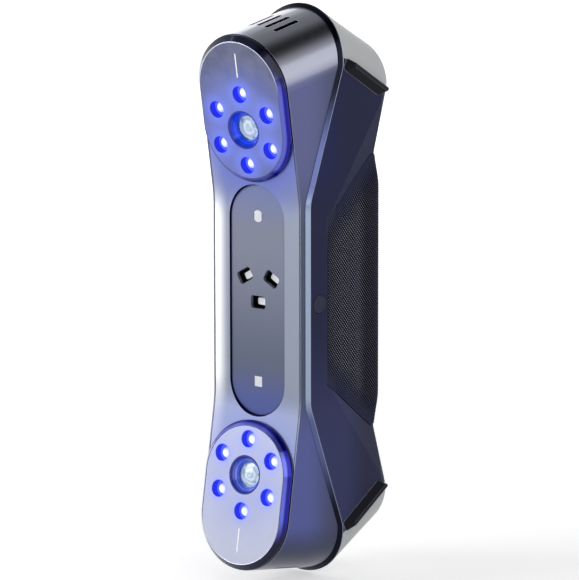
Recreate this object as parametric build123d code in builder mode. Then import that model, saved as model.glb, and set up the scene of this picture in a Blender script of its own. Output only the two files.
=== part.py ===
from build123d import *
from math import atan2, cos, radians, sin, tan
import os

# Hand-held three-d scanner, upright. +Z is up along its length, -Y is the side that looks at the
# subject, +X is the side with the thumb button. Sizes are in millimetres. Depths are measured
# back from the flat middle of the front fascia, and, in a head, back from the pod's face.

# Heads: two camera pods that toe in towards the middle
lens_z = 67.0
head_tilt = radians(9.5)
bend_z = 39.2
pod_height = 3.1
pod_face_half = 19.2
pod_bevel = 2.05
pod_length = 15.6
pod_foot_half = 20.5
pod_foot_height = 0.5
face_half = 18.85
face_thick = 1.0
lamp_count = 6
lamp_ring_r = 14.0
lamp_hole_r = 3.35
lamp_dome_r = 2.3
lamp_dome_depth = 3.9
lamp_board_r = 17.8
index_start = 20.8
index_length = 9.3
index_width = 0.55

# Lens and camera behind each pod, as radii and depths behind the pod's face
hood_r = 7.6
hood_mouth_r = 6.95
hood_throat_r = 5.3
hood_throat_depth = 2.7
hood_lip = 0.1
barrel_r = 6.0
barrel_bore_r = 3.5
barrel_front_depth = 2.9
barrel_back_depth = 14.0
glass_r = 4.9
glass_edge_depth = 3.6
glass_back_depth = 5.0
mount_size = 16.0
mount_front_depth = 8.0
sensor_room = 13.0
sensor_room_depth = 14.5
sensor_thick = 1.0
sensor_size = (9.0, 7.0)
camera_board_depth = 17.0
camera_board_size = 26.0
camera_post_pitch = 21.0
camera_post_height = 3.0

# Shells
front_half = 21.5
front_wall = 2.0
rear_half = 22.8
rear_wall = 2.4
rear_depth = 55.6
waist_depth = 47.4
rear_corner_r = 6.5
cavity_corner_r = 3.0
seam_thick = 1.7
trim_bevel = 1.25
seam_waist_depth = 4.55
seam_waist_z = 39.5
seam_head_depth = 24.6
seam_head_z = 90.0
seam_lean = radians(9.0)
end_lean = radians(29.0)
end_corner_r = 15.0
end_drop = 1.0
end_run = 12.0
round_share = 68.0
neck_z = 53.5
shoulder_z = 79.0
bend_r = 40.0
corner_r = 10.0

# Fascia and centre panel
fascia_thick = 1.5
fascia_rim = 0.75
lip_rim = 0.55
panel_half = 13.2
panel_half_height = 44.9
panel_sunk = 0.7
panel_thick = 1.4
panel_gap = 0.3
tray_half = 15.4
tray_floor = 1.5
tray_ledge = 1.2
round_light_z = 32.8
round_light_r = 2.3
square_light_z = -31.7
square_light_size = 4.0
light_flange = 0.9
light_board_size = 10.0

# Lasers: three modules in one block behind the panel, at (x, z, turn in degrees)
laser_places = ((-6.5, 9.0, 30.0), (6.5, 9.0, -30.0), (0.0, -0.75, 0.0))
laser_window = (7.0, 5.0)
laser_window_r = 1.2
laser_recess = 2.2
laser_module_r = 3.0
laser_module_length = 11.0
laser_lens = (4.2, 2.6)
laser_lens_r = 0.6
laser_lens_thick = 1.0
laser_block_half = 11.8
laser_block_z = (-8.0, 17.0)

# Grip, bumpers and the parting line under the bumpers
grip_front_depth = 14.8
grip_front_z = 32.0
grip_side_depth = 43.0
grip_half = 22.5
grip_core_half = 20.7
grip_depth = 50.8
grip_end_depth = 48.6
grip_flat_z = 42.0
grip_gap = 0.3
grip_corner_r = 7.0
grip_bulge_r = 20.0
grip_facet_angle = 12.0
grip_edge_half = 22.2
grip_groove_half = 21.6
grip_groove_run = 6.5
grip_swell_run = 18.0
grip_end_fall = 4.0
crease_depth = 51.0
crease_z = 77.5
valley_half = 21.3
parting_depth = 26.2
parting_z = 92.4
parting_lean = radians(30.5)
bumper_length = 25.6
bumper_base_half = 21.3
bumper_half = 24.8
bumper_foot = ((-12.8, 0.6), (16.0, 0.6), (12.4, -4.2), (-12.8, -4.2))
bumper_foot_r = 1.5
bumper_crest = ((-8.8, 0.4), (15.6, 0.4), (14.6, -1.2), (-8.8, -1.2))
bumper_crest_r = 0.7

# Vents in the round ends
vent_count = 5
vent_pitch = 3.9
vent_width = 1.7
vent_length = 14.5
vent_depth = 22.0

# Thumb button in the right side, and rear keys
button_depth = 9.8
button_r = 3.6
button_flange_r = 4.4
button_proud = 0.05
key_z = 22.0
key_pitch = 10.5
scan_key_r = 4.1
small_key_r = 3.1
key_proud = 0.8
key_flange = 0.9
key_panel_half = 7.5
key_panel_half_height = 17.0
key_panel_thick = 2.3
slide_gap = 0.3
flange_thick = 1.0
stem_r = 1.3
key_stem_length = 2.7
button_stem_length = 2.3
button_seat_depth = 2.3
switch_size = 6.2
switch_height = 3.6
switch_bore_r = 1.7
switch_bore_depth = 2.0
stem_entry = 0.6
key_post_x = 6.0
key_post_z = 17.4
key_post_r = 2.0

# Bench, boards and sockets
bench_depth = 18.1
bench_thick = 3.0
bench_half = 18.3
bench_end_z = 84.0
bench_window = (20.0, 9.0)
bench_window_z = 50.0
post_x = 15.5
post_along = -14.0
post_r = 2.5
board_thick = 1.2
board_depth = 30.0
board_half = 17.0
board_half_height = 45.0
standoff_x = 14.0
standoff_z = 36.0
standoff_r = 2.5
chip_size = 20.0
chip_z = -24.0
chip_thick = 1.4
sink_half = 16.0
sink_half_height = 17.0
sink_base = 2.0
sink_height = 9.0
fin_count = 9
fin_thick = 1.4
socket_z = -85.0
socket_width = 9.0
socket_height = 3.2
socket_wall = 0.3
socket_length = 8.0
socket_sunk = 0.9
socket_recess = (13.0, 7.0)
tongue_width = 6.7
tongue_thick = 0.7
tongue_length = 5.6
socket_board_half = 9.0
socket_board_length = 14.0
rib_x = 6.5
rib_thick = 1.5
rib_height = 3.0

# Screws: bosses at the neck, cap lips under the bumpers, board screws
boss_x = 12.0
boss_z = 62.0
boss_r = 4.2
boss_front_depth = 22.0
bore_floor_depth = 46.5
bore_r = 2.7
rear_screw_r = 1.25
rear_screw_head_r = 2.5
rear_screw_head = 1.7
lip_thick = 3.0
lip_gap = 0.65
lip_drop = 6.0
lip_rise = 3.0
lip_half_length = 9.5
cap_screw_r = 0.75
cap_screw_head_r = 1.4
cap_screw_head = 0.6
cap_screw_drop = 1.9
cap_screw_pitch = 14.0
board_screw_r = 1.0
board_screw_head_r = 1.8
board_screw_head = 1.3
board_screw_length = 4.0

# Worked-out places
reach = 130.0
facing = 0.6
pod_foot_z = lens_z + pod_height * sin(head_tilt)
lens_depth = -(pod_foot_z - bend_z) * tan(head_tilt) - pod_height * cos(head_tilt)
pod_reach = (pod_length + pod_face_half) * sin(head_tilt) - lens_depth
fascia_y = (pod_reach - rear_depth) / 2
fascia_back = pod_height + fascia_thick
fascia_half = front_half - fascia_rim
lip_half = front_half - lip_rim
panel_back = panel_sunk + panel_thick
bench_back = bench_depth + bench_thick
shoulder_slope = atan2(rear_depth - waist_depth, shoulder_z - neck_z)
wall_inside = rear_half - rear_wall
lip_outside = wall_inside - lip_gap
key_wall_depth = waist_depth - rear_wall
key_panel_depth = waist_depth + key_panel_thick
key_flange_depth = key_wall_depth - slide_gap - flange_thick
key_stem_depth = key_flange_depth - key_stem_length
key_switch_depth = key_stem_depth + stem_entry
key_board_depth = key_switch_depth - switch_height - board_thick
button_seat = rear_half - button_seat_depth
button_flange_x = button_seat - slide_gap - flange_thick
button_stem_x = button_flange_x - button_stem_length
side_switch_x = button_stem_x + stem_entry
side_board_x = side_switch_x - switch_height - board_thick
sink_depth = board_depth + board_thick + chip_thick
socket_mouth = rear_depth - socket_sunk
socket_board_z = socket_z - socket_height / 2 - board_thick
heads = (("upper", 1), ("lower", -1))
sides = (("right", 1), ("left", -1))
keys = (("plus", 1, small_key_r), ("scan", 0, scan_key_r), ("minus", -1, small_key_r))


def head_plane(out, depth=0.0):
    """Plane of a pod's face, or one behind it; out is 1 for the upper head and -1 for the lower."""
    y = fascia_y + lens_depth + depth * cos(head_tilt)
    z = lens_z + depth * sin(head_tilt)
    normal = (0, -cos(head_tilt), -out * sin(head_tilt))
    return Plane(origin=(0, y, out * z), x_dir=(1, 0, 0), z_dir=normal)


def axis_plane(out):
    """Plane along a lens axis: radius to the right, depth behind the pod's face up."""
    face = head_plane(out)
    return Plane(origin=face.origin, x_dir=(1, 0, 0), z_dir=face.y_dir)


def lens_axis(out):
    """The optical axis of a head."""
    face = head_plane(out)
    return Axis(face.origin, face.z_dir)


def side_plane(x=0.0, side=1):
    """Plane seen from a side: depth behind the fascia to the right, height up or, on the left, down."""
    return Plane(origin=(x, fascia_y, 0), x_dir=(0, 1, 0), z_dir=(side, 0, 0))


def front_plane(depth=0.0):
    """Plane seen from the front, at a depth behind the fascia's flat middle."""
    return Plane(origin=(0, fascia_y + depth, 0), x_dir=(1, 0, 0), z_dir=(0, -1, 0))


def vent_plane(out):
    """Plane outside a head's round end, square to the end's middle line."""
    middle = head_plane(out, vent_depth)
    start = middle.origin + middle.y_dir * (out * (pod_length + 2 * front_half))
    return Plane(origin=start, x_dir=(1, 0, 0), z_dir=middle.y_dir * out)


def bumper_plane(out, side, half_width):
    """Plane along a parting line on one side, with its origin at the bumper's middle."""
    run = bumper_length / 2
    y = fascia_y + parting_depth + run * cos(parting_lean)
    z = out * (parting_z - run * sin(parting_lean))
    along = (0, cos(parting_lean), -out * sin(parting_lean))
    return Plane(origin=(side * half_width, y, z), x_dir=along, z_dir=(side, 0, 0))


def bumper_outline(out, side, corners, corner):
    """Rounded outline on a bumper's plane; corners are (along, outward) from the parting line's middle."""
    with BuildSketch() as outline:
        with BuildLine():
            FilletPolyline(*[(x, out * side * y) for x, y in corners], radius=corner, close=True)
        make_face()
    return outline.sketch


def side_cut(out, side, points, inset):
    """Block outside a plane through three (half width, depth, height) points of a side."""
    a, b, c = [Vector(side * x, fascia_y + y, out * z) for x, y, z in points]
    across = (b - a).cross(c - a).normalized()
    outward = across * (1 if across.X * side > 0 else -1)
    with BuildPart() as block:
        with BuildSketch(Plane(origin=a - outward * inset, x_dir=b - a, z_dir=outward)):
            Rectangle(4 * reach, 4 * reach)
        extrude(amount=reach)
    return block.part


def shoulder_cut(out, side, inset):
    """What a shoulder facet takes off a side between its crease and the grip's slanted end."""
    points = [
        (rear_half, grip_front_depth, grip_front_z),
        (rear_half, crease_depth, crease_z),
        (valley_half, grip_side_depth, neck_z),
    ]
    zone = [
        (grip_front_depth, grip_front_z),
        (grip_side_depth, neck_z),
        (2 * rear_depth, neck_z),
        (2 * rear_depth, reach),
        (grip_front_depth, reach),
    ]
    block = side_cut(out, side, points, inset)
    with BuildPart() as cut:
        with BuildSketch(side_plane()):
            with BuildLine():
                Polyline(*[(y, out * z) for y, z in zone], close=True)
            make_face()
        extrude(amount=side * 2 * rear_half)
        add(block, mode=Mode.INTERSECT)
    return cut.part


def fascia_line(depth, end_z=reach):
    """Side view of the fascia's bent surface, or of one that runs parallel behind it."""
    bend = bend_z + depth * tan(head_tilt / 2)
    end = depth / cos(head_tilt) - (end_z - bend_z) * tan(head_tilt)
    return [(end, end_z), (depth, bend), (depth, -bend), (end, -end_z)]


def seam_line(shift):
    """Side view of the rear shell's front edge, moved back by shift."""
    end = seam_head_depth + (reach - seam_head_z) * tan(seam_lean) + shift
    head = seam_head_depth + shift
    waist = seam_waist_depth + shift
    half = [(end, reach), (head, seam_head_z), (waist, seam_waist_z)]
    return half + [(y, -z) for y, z in reversed(half)]


def rear_line(inset):
    """Side view of the back, moved in by inset."""
    lift = inset * tan(shoulder_slope / 2)
    half = [
        (rear_depth - inset, reach),
        (rear_depth - inset, shoulder_z + lift),
        (waist_depth - inset, neck_z + lift),
    ]
    return half + [(y, -z) for y, z in reversed(half)]


def side_band(front, front_r, back, back_r):
    """Closed side-view face between two lines, with their corners rounded."""
    with BuildSketch(side_plane()) as band:
        with BuildLine():
            FilletPolyline(*front, radius=front_r)
            FilletPolyline(*back, radius=back_r)
            Line(front[0], back[0])
            Line(front[-1], back[-1])
        make_face()
    return band.sketch


def grip_outline(grow):
    """Side view of the grip's zone, grown by a margin, open to the back."""
    half = [
        (2 * rear_depth, neck_z + grow),
        (grip_side_depth, neck_z + grow),
        (grip_front_depth - grow, grip_front_z + grow / 2),
    ]
    with BuildSketch() as outline:
        with BuildLine():
            Polyline(*half, *[(y, -z) for y, z in reversed(half)], close=True)
        make_face()
    return outline.sketch


def cap_region(out):
    """Side view of what lies outside a head's parting line."""
    rise = tan(parting_lean)
    front = -pod_reach
    back = 2 * rear_depth
    corners = [
        (front, parting_z + (parting_depth - front) * rise),
        (back, parting_z + (parting_depth - back) * rise),
        (back, 2 * reach),
        (front, 2 * reach),
    ]
    with BuildSketch(side_plane()) as region:
        with BuildLine():
            Polyline(*[(y, out * z) for y, z in corners], close=True)
        make_face()
    return region.sketch


def pod_outline(half_width, out):
    """Stadium of a pod: one round end on the lens, the other further out."""
    with BuildSketch() as outline:
        with Locations((0, out * pod_length / 2)):
            SlotCenterToCenter(pod_length, 2 * half_width, rotation=90)
    return outline.sketch


def panel_outline(half_width):
    """Stadium of the centre panel, or one round the same centres."""
    with BuildSketch() as outline:
        SlotCenterToCenter(2 * (panel_half_height - panel_half), 2 * half_width, rotation=90)
    return outline.sketch


def pod_openings():
    """Lens opening and lamp openings of a head."""
    with BuildSketch() as openings:
        Circle(hood_r)
        with PolarLocations(lamp_ring_r, lamp_count, start_angle=90):
            Circle(lamp_hole_r)
    return openings.sketch


def front_tube(half_width):
    """Round-ended tube that follows the toe-in of both heads."""
    with BuildPart() as tube:
        for _, out in heads:
            with BuildSketch(head_plane(out)):
                with Locations((0, out * pod_length)):
                    Circle(half_width)
                with Locations((0, out * (pod_length - lens_z / 2))):
                    Rectangle(2 * half_width, lens_z)
            extrude(amount=-rear_depth)
        with BuildSketch(front_plane(-pod_reach)):
            Rectangle(2 * half_width, lens_z)
        extrude(amount=-rear_depth)
    return tube.part


def round_end(half_width, height):
    """Section of a head at the seam: straight sides under half an ellipse, drawn as three arcs."""
    with BuildSketch() as section:
        with BuildLine():
            Line((half_width, -lens_z), (half_width, 0))
            for start, end in ((0, round_share), (round_share, 180 - round_share), (180 - round_share, 180)):
                EllipticalCenterArc((0, 0), half_width, height, start_angle=start, arc_size=end - start)
            Line((-half_width, 0), (-half_width, -lens_z))
            Line((-half_width, -lens_z), (half_width, -lens_z))
        make_face()
    return section.sketch


def squared_end(half_width, height, corner):
    """Section of a head behind its back: straight sides and a flat end with rounded corners."""
    with BuildSketch() as section:
        with BuildLine():
            Line((half_width, -lens_z), (half_width, height - corner))
            CenterArc((half_width - corner, height - corner), corner, 0, 90)
            Line((half_width - corner, height), (corner - half_width, height))
            CenterArc((corner - half_width, height - corner), corner, 90, 90)
            Line((-half_width, height - corner), (-half_width, -lens_z))
            Line((-half_width, -lens_z), (half_width, -lens_z))
        make_face()
    return section.sketch


def rear_tube(half_width, corner):
    """Tube that meets the front one at the seam, where it is round, and turns square as it leans in."""
    slope = tan(seam_lean)
    start_depth = lens_depth - pod_length * sin(head_tilt)
    start_z = lens_z + pod_length * cos(head_tilt)
    rise = seam_head_depth + (start_z - seam_head_z) * slope - start_depth
    run = rise / (cos(head_tilt) - sin(head_tilt) * slope)
    seam_depth = start_depth + run * cos(head_tilt)
    seam_z = start_z + run * sin(head_tilt)
    back_depth = rear_depth + end_run
    back_z = seam_z - (back_depth - seam_depth) * tan(end_lean) - end_drop
    height = half_width / cos(head_tilt + seam_lean)
    seam_normal = (0, -cos(seam_lean), sin(seam_lean))
    seam_plane = Plane(origin=(0, fascia_y + seam_depth, seam_z), x_dir=(1, 0, 0), z_dir=seam_normal)
    back_plane = Plane(origin=(0, fascia_y + back_depth, back_z), x_dir=(1, 0, 0), z_dir=(0, -1, 0))
    with BuildPart() as upper:
        round_face = (seam_plane * round_end(half_width, height)).face()
        squared_face = (back_plane * squared_end(half_width, height, corner)).face()
        loft([round_face, squared_face], ruled=True)
        extrude(round_face, amount=rear_depth)
    with BuildPart() as tube:
        add(upper.part)
        add(mirror(upper.part, about=Plane.XY))
        with BuildSketch(front_plane(-pod_reach)):
            Rectangle(2 * half_width, 2 * neck_z)
        extrude(amount=-2 * rear_depth)
    return tube.part


def rear_body(half_width, inset, corner):
    """Whole rear form behind the seam, with its rear edge rounded all round."""
    tube = rear_tube(half_width, end_corner_r - inset)
    with BuildPart() as body:
        add(tube)
        band = side_band(seam_line(-inset), corner_r, rear_line(inset), corner_r)
        extrude(band, amount=reach, both=True, mode=Mode.INTERSECT)
        back = body.faces().filter_by(lambda f: f.normal_at(f.center()).Y > facing)
        fillet(back.edges().filter_by(Axis.X, reverse=True), radius=corner)
    return body.part


os.makedirs("parts", exist_ok=True)

# Solids that several shells are cut from
rear_solid = rear_body(rear_half, 0.0, rear_corner_r)
rear_cavity = rear_body(wall_inside, rear_wall, cavity_corner_r)
front_outer = front_tube(front_half)
front_inner = front_tube(front_half - front_wall)
lip_tube = front_tube(lip_half)
fascia_tube = front_tube(fascia_half)
seam_tube = front_tube(rear_half)

# Front housing: the deep sides between the fascia and the seam, with vents in both round ends
with BuildPart() as fascia_seat:
    add(lip_tube)
    seat_band = side_band(fascia_line(-pod_reach), bend_r, fascia_line(fascia_thick), bend_r)
    extrude(seat_band, amount=reach, both=True, mode=Mode.INTERSECT)

with BuildPart() as front_housing:
    add(front_outer)
    front_band = side_band(fascia_line(0), bend_r, seam_line(-seam_thick), corner_r)
    extrude(front_band, amount=reach, both=True, mode=Mode.INTERSECT)
    add(front_inner, mode=Mode.SUBTRACT)
    add(fascia_seat.part, mode=Mode.SUBTRACT)
    for _, out in heads:
        with BuildSketch(vent_plane(out)):
            with GridLocations(vent_pitch, 1, vent_count, 1):
                SlotOverall(vent_length, vent_width, rotation=90)
        extrude(amount=-2 * front_half, mode=Mode.SUBTRACT)
front_housing.part.label = "front_housing"
export_step(front_housing.part, "parts/front_housing.step")

# Seam trim: bevelled strip between the shells
with BuildPart() as seam_trim:
    add(seam_tube)
    trim_band = side_band(seam_line(-seam_thick), corner_r, seam_line(0), corner_r)
    extrude(trim_band, amount=reach, both=True, mode=Mode.INTERSECT)
    trim_front = seam_trim.faces().filter_by(lambda f: f.normal_at(f.center()).Y < -facing)
    chamfer(trim_front.edges().filter_by(Axis.X, reverse=True), length=trim_bevel)
    add(front_inner, mode=Mode.SUBTRACT)
seam_trim.part.label = "seam_trim"
export_step(seam_trim.part, "parts/seam_trim.step")

# Rear shell: cut back under the grip, with sloped facets round the cut, then hollowed
with BuildPart() as rear_core:
    add(rear_solid)
    for _, out in heads:
        for _, side in sides:
            add(shoulder_cut(out, side, 0.0), mode=Mode.SUBTRACT)
    for _, side in sides:
        with BuildSketch(side_plane(side * grip_core_half, side)):
            add(grip_outline(0))
        extrude(amount=grip_core_half, taper=-grip_facet_angle, mode=Mode.SUBTRACT)

with BuildPart() as rear_hollow:
    add(rear_cavity)
    for _, out in heads:
        for _, side in sides:
            add(shoulder_cut(out, side, front_wall), mode=Mode.SUBTRACT)
    for _, side in sides:
        with BuildSketch(side_plane(side * (grip_core_half - front_wall), side)):
            add(grip_outline(front_wall))
        extrude(amount=grip_core_half, mode=Mode.SUBTRACT)

with BuildPart() as rear_shell:
    add(rear_core.part)
    add(rear_hollow.part, mode=Mode.SUBTRACT)
    for _, out in heads:
        for _, side in sides:
            with BuildSketch(bumper_plane(out, side, bumper_base_half)):
                add(bumper_outline(out, side, bumper_foot, bumper_foot_r))
            extrude(amount=grip_core_half, mode=Mode.SUBTRACT)

# Screw bosses at the neck, trimmed to the shell's outside
with BuildPart() as neck_bosses:
    with BuildSketch(front_plane(boss_front_depth)):
        with GridLocations(2 * boss_x, 2 * boss_z, 2, 2):
            Circle(boss_r)
    extrude(amount=-rear_depth)
    add(rear_solid, mode=Mode.INTERSECT)

# Rear housing: the shell between the end caps, with bosses, key holes and the button's hole
with BuildPart() as rear_housing:
    add(rear_shell.part)
    for _, out in heads:
        extrude(cap_region(out), amount=reach, both=True, mode=Mode.SUBTRACT)
    add(neck_bosses.part)
    with BuildSketch(front_plane(bore_floor_depth)):
        with GridLocations(2 * boss_x, 2 * boss_z, 2, 2):
            Circle(bore_r)
    extrude(amount=-rear_depth, mode=Mode.SUBTRACT)
    with BuildSketch(front_plane()):
        with GridLocations(2 * boss_x, 2 * boss_z, 2, 2):
            Circle(rear_screw_r)
    extrude(amount=-rear_depth, mode=Mode.SUBTRACT)
    with BuildSketch(front_plane(key_board_depth + board_thick)):
        with Locations((0, key_z)):
            with GridLocations(2 * key_post_x, 2 * key_post_z, 2, 2):
                Circle(key_post_r)
    extrude(amount=key_board_depth + board_thick - key_wall_depth)
    with BuildSketch(front_plane(key_flange_depth)):
        for _, step, radius in keys:
            with Locations((0, key_z + step * key_pitch)):
                Circle(radius + slide_gap)
    extrude(amount=-rear_depth, mode=Mode.SUBTRACT)
    with BuildSketch(side_plane(side_board_x)):
        with Locations((button_depth, 0)):
            Circle(button_flange_r + slide_gap)
    extrude(amount=button_seat - side_board_x, mode=Mode.SUBTRACT)
    with BuildSketch(side_plane(side_board_x)):
        with Locations((button_depth, 0)):
            Circle(button_r + slide_gap)
    extrude(amount=rear_half, mode=Mode.SUBTRACT)
    for _, out in heads:
        for _, side in sides:
            with BuildSketch(bumper_plane(out, side, bumper_base_half)):
                with Locations((0, -out * side * cap_screw_drop)):
                    with GridLocations(cap_screw_pitch, 1, 2, 1):
                        Circle(cap_screw_head_r)
            extrude(amount=-cap_screw_head, mode=Mode.SUBTRACT)
            with BuildSketch(bumper_plane(out, side, bumper_base_half)):
                with Locations((0, -out * side * cap_screw_drop)):
                    with GridLocations(cap_screw_pitch, 1, 2, 1):
                        Circle(cap_screw_r)
            extrude(amount=-rear_wall, mode=Mode.SUBTRACT)
rear_housing.part.label = "rear_housing"
export_step(rear_housing.part, "parts/rear_housing.step")

# End caps: the slanted ends, with lips that slide inside the rear housing and take its screws
for name, out in heads:
    with BuildPart() as end_cap:
        add(rear_shell.part)
        extrude(cap_region(out), amount=reach, both=True, mode=Mode.INTERSECT)
        for _, side in sides:
            with BuildSketch(bumper_plane(out, side, lip_outside)):
                with Locations((0, out * side * (lip_rise - lip_drop) / 2)):
                    Rectangle(2 * lip_half_length, lip_rise + lip_drop)
            extrude(amount=-lip_thick)
            with BuildSketch(bumper_plane(out, side, lip_outside)):
                with Locations((0, -out * side * cap_screw_drop)):
                    with GridLocations(cap_screw_pitch, 1, 2, 1):
                        Circle(cap_screw_r)
            extrude(amount=-lip_thick, mode=Mode.SUBTRACT)
        if out < 0:
            with BuildSketch(front_plane(rear_depth - rear_wall)):
                with Locations((0, socket_board_z - rib_height / 2)):
                    with GridLocations(2 * rib_x, 1, 2, 1):
                        Rectangle(rib_thick, rib_height)
            extrude(amount=socket_board_length - rear_wall)
            with BuildSketch(front_plane(rear_depth - socket_sunk)):
                with Locations((0, socket_z)):
                    SlotOverall(*socket_recess)
            extrude(amount=-rear_wall, mode=Mode.SUBTRACT)
            with BuildSketch(front_plane(rear_depth - rear_wall)):
                with Locations((0, socket_z)):
                    SlotOverall(socket_width, socket_height)
            extrude(amount=-rear_wall, mode=Mode.SUBTRACT)
    end_cap.part.label = f"{name}_end_cap"
    export_step(end_cap.part, f"parts/{name}_end_cap.step")

# Grip sleeve: soft wrap round the sides and back of the waist, with a window for the keys
with BuildPart() as grip_sleeve:
    with BuildSketch(side_plane()):
        with BuildLine():
            edge = grip_front_depth + grip_gap
            end = neck_z - grip_gap
            Polyline(
                (grip_end_depth, end),
                (grip_side_depth, end),
                (edge, grip_front_z),
                (edge, -grip_front_z),
                (grip_side_depth, -end),
                (grip_end_depth, -end),
            )
            FilletPolyline(
                (grip_end_depth, end),
                (grip_depth, grip_flat_z),
                (grip_depth, -grip_flat_z),
                (grip_end_depth, -end),
                radius=grip_bulge_r,
            )
        make_face()
    extrude(amount=grip_half, both=True)
    sleeve_back = grip_sleeve.faces().filter_by(lambda f: f.normal_at(f.center()).Y > facing)
    fillet(sleeve_back.edges().filter_by(Axis.X, reverse=True), radius=grip_corner_r)
    with BuildSketch(Plane.XY.offset(-neck_z)):
        with BuildLine():
            front = fascia_y + grip_front_depth
            plan = [
                (grip_edge_half, front),
                (grip_groove_half, front + grip_groove_run),
                (grip_half, front + grip_swell_run),
                (grip_half, fascia_y + rear_depth),
            ]
            Polyline(*plan, *[(-x, y) for x, y in reversed(plan)], close=True)
        make_face()
    extrude(amount=2 * neck_z, mode=Mode.INTERSECT)
    sleeve_end = [
        (grip_half, grip_front_depth, grip_front_z - grip_end_fall),
        (grip_half, grip_side_depth + grip_end_fall, grip_flat_z),
        (valley_half, grip_side_depth, neck_z),
    ]
    for _, out in heads:
        for _, side in sides:
            add(side_cut(out, side, sleeve_end, 0.0), mode=Mode.SUBTRACT)
    add(rear_core.part, mode=Mode.SUBTRACT)
    with BuildSketch(front_plane(waist_depth - rear_corner_r)):
        with Locations((0, key_z)):
            SlotOverall(
                2 * (key_panel_half_height + grip_gap), 2 * (key_panel_half + grip_gap), rotation=90
            )
    extrude(amount=-rear_depth, mode=Mode.SUBTRACT)
grip_sleeve.part.label = "grip_sleeve"
export_step(grip_sleeve.part, "parts/grip_sleeve.step")

# Bumpers: four rubber wedges over the parting lines, highest along their outer edge
for name, out in heads:
    for side_name, side in sides:
        foot = bumper_outline(out, side, bumper_foot, bumper_foot_r)
        crest = bumper_outline(out, side, bumper_crest, bumper_crest_r)
        with BuildPart() as bumper:
            with BuildSketch(bumper_plane(out, side, bumper_base_half)):
                add(foot)
            extrude(amount=rear_half - bumper_base_half)
            wedge_foot = bumper_plane(out, side, rear_half) * foot
            wedge_top = bumper_plane(out, side, bumper_half) * crest
            loft([wedge_foot.face(), wedge_top.face()], ruled=True)
        bumper.part.label = f"{name}_{side_name}_bumper"
        export_step(bumper.part, f"parts/{name}_{side_name}_bumper.step")

# Front fascia: bent plate let into the front housing, with a tray for the centre panel
with BuildPart() as panel_tray:
    with BuildSketch(front_plane(-pod_reach)):
        add(panel_outline(tray_half))
    extrude(amount=-pod_reach - panel_back - tray_floor)
    tray_band = side_band(fascia_line(fascia_thick / 2), bend_r, fascia_line(bench_depth), bend_r)
    extrude(tray_band, amount=reach, both=True, mode=Mode.INTERSECT)

with BuildPart() as front_fascia:
    add(fascia_tube)
    fascia_band = side_band(fascia_line(0), bend_r, fascia_line(fascia_thick), bend_r)
    extrude(fascia_band, amount=reach, both=True, mode=Mode.INTERSECT)
    add(panel_tray.part)
    with BuildSketch(front_plane(-pod_reach)):
        add(panel_outline(panel_half + panel_gap))
    extrude(amount=-pod_reach - panel_back, mode=Mode.SUBTRACT)
    with BuildSketch(front_plane(0)):
        add(panel_outline(panel_half - tray_ledge))
    extrude(amount=-bench_depth, mode=Mode.SUBTRACT)
    for _, out in heads:
        with BuildSketch(head_plane(out)):
            add(pod_openings())
        extrude(amount=-2 * fascia_back, mode=Mode.SUBTRACT)
front_fascia.part.label = "front_fascia"
export_step(front_fascia.part, "parts/front_fascia.step")

# Centre panel and the two lights in it
with BuildPart() as centre_panel:
    with BuildSketch(front_plane(panel_sunk)):
        add(panel_outline(panel_half))
        with Locations((0, round_light_z)):
            Circle(round_light_r, mode=Mode.SUBTRACT)
        with Locations((0, square_light_z)):
            Rectangle(square_light_size, square_light_size, mode=Mode.SUBTRACT)
        for x, z, turn in laser_places:
            with Locations((x, z)):
                RectangleRounded(*laser_window, laser_window_r, rotation=turn, mode=Mode.SUBTRACT)
    extrude(amount=-panel_thick)
centre_panel.part.label = "centre_panel"
export_step(centre_panel.part, "parts/centre_panel.step")

with BuildPart() as round_light_window:
    with BuildSketch(front_plane(panel_sunk)):
        with Locations((0, round_light_z)):
            Circle(round_light_r)
    extrude(amount=-panel_thick)
    with BuildSketch(front_plane(panel_back)):
        with Locations((0, round_light_z)):
            Circle(round_light_r + light_flange)
    extrude(amount=-light_flange)
round_light_window.part.label = "round_light_window"
export_step(round_light_window.part, "parts/round_light_window.step")

with BuildPart() as square_light_window:
    with BuildSketch(front_plane(panel_sunk)):
        with Locations((0, square_light_z)):
            Rectangle(square_light_size, square_light_size)
    extrude(amount=-panel_thick)
    with BuildSketch(front_plane(panel_back)):
        with Locations((0, square_light_z)):
            Rectangle(square_light_size + 2 * light_flange, square_light_size + 2 * light_flange)
    extrude(amount=-light_flange)
square_light_window.part.label = "square_light_window"
export_step(square_light_window.part, "parts/square_light_window.step")

with BuildPart() as panel_light_boards:
    with BuildSketch(front_plane(panel_back + light_flange)):
        with Locations((0, round_light_z), (0, square_light_z)):
            RectangleRounded(light_board_size, light_board_size, board_thick)
    extrude(amount=-board_thick)
panel_light_boards.part.label = "panel_light_boards"
export_step(panel_light_boards.part, "parts/panel_light_boards.step")

# Lasers: one block on the bench, three modules in it, and their line lenses
with BuildPart() as laser_block:
    block_low, block_high = laser_block_z
    with BuildSketch(front_plane(panel_back)):
        with Locations((0, (block_low + block_high) / 2)):
            RectangleRounded(2 * laser_block_half, block_high - block_low, board_thick)
    extrude(amount=panel_back - bench_depth)
    with BuildSketch(front_plane(panel_back)):
        for x, z, turn in laser_places:
            with Locations((x, z)):
                RectangleRounded(*laser_window, laser_window_r, rotation=turn)
    extrude(amount=-laser_recess, mode=Mode.SUBTRACT)
    with BuildSketch(front_plane(panel_back + laser_recess)):
        for x, z, _ in laser_places:
            with Locations((x, z)):
                Circle(laser_module_r)
    extrude(amount=-laser_module_length, mode=Mode.SUBTRACT)
laser_block.part.label = "laser_block"
export_step(laser_block.part, "parts/laser_block.step")

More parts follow.
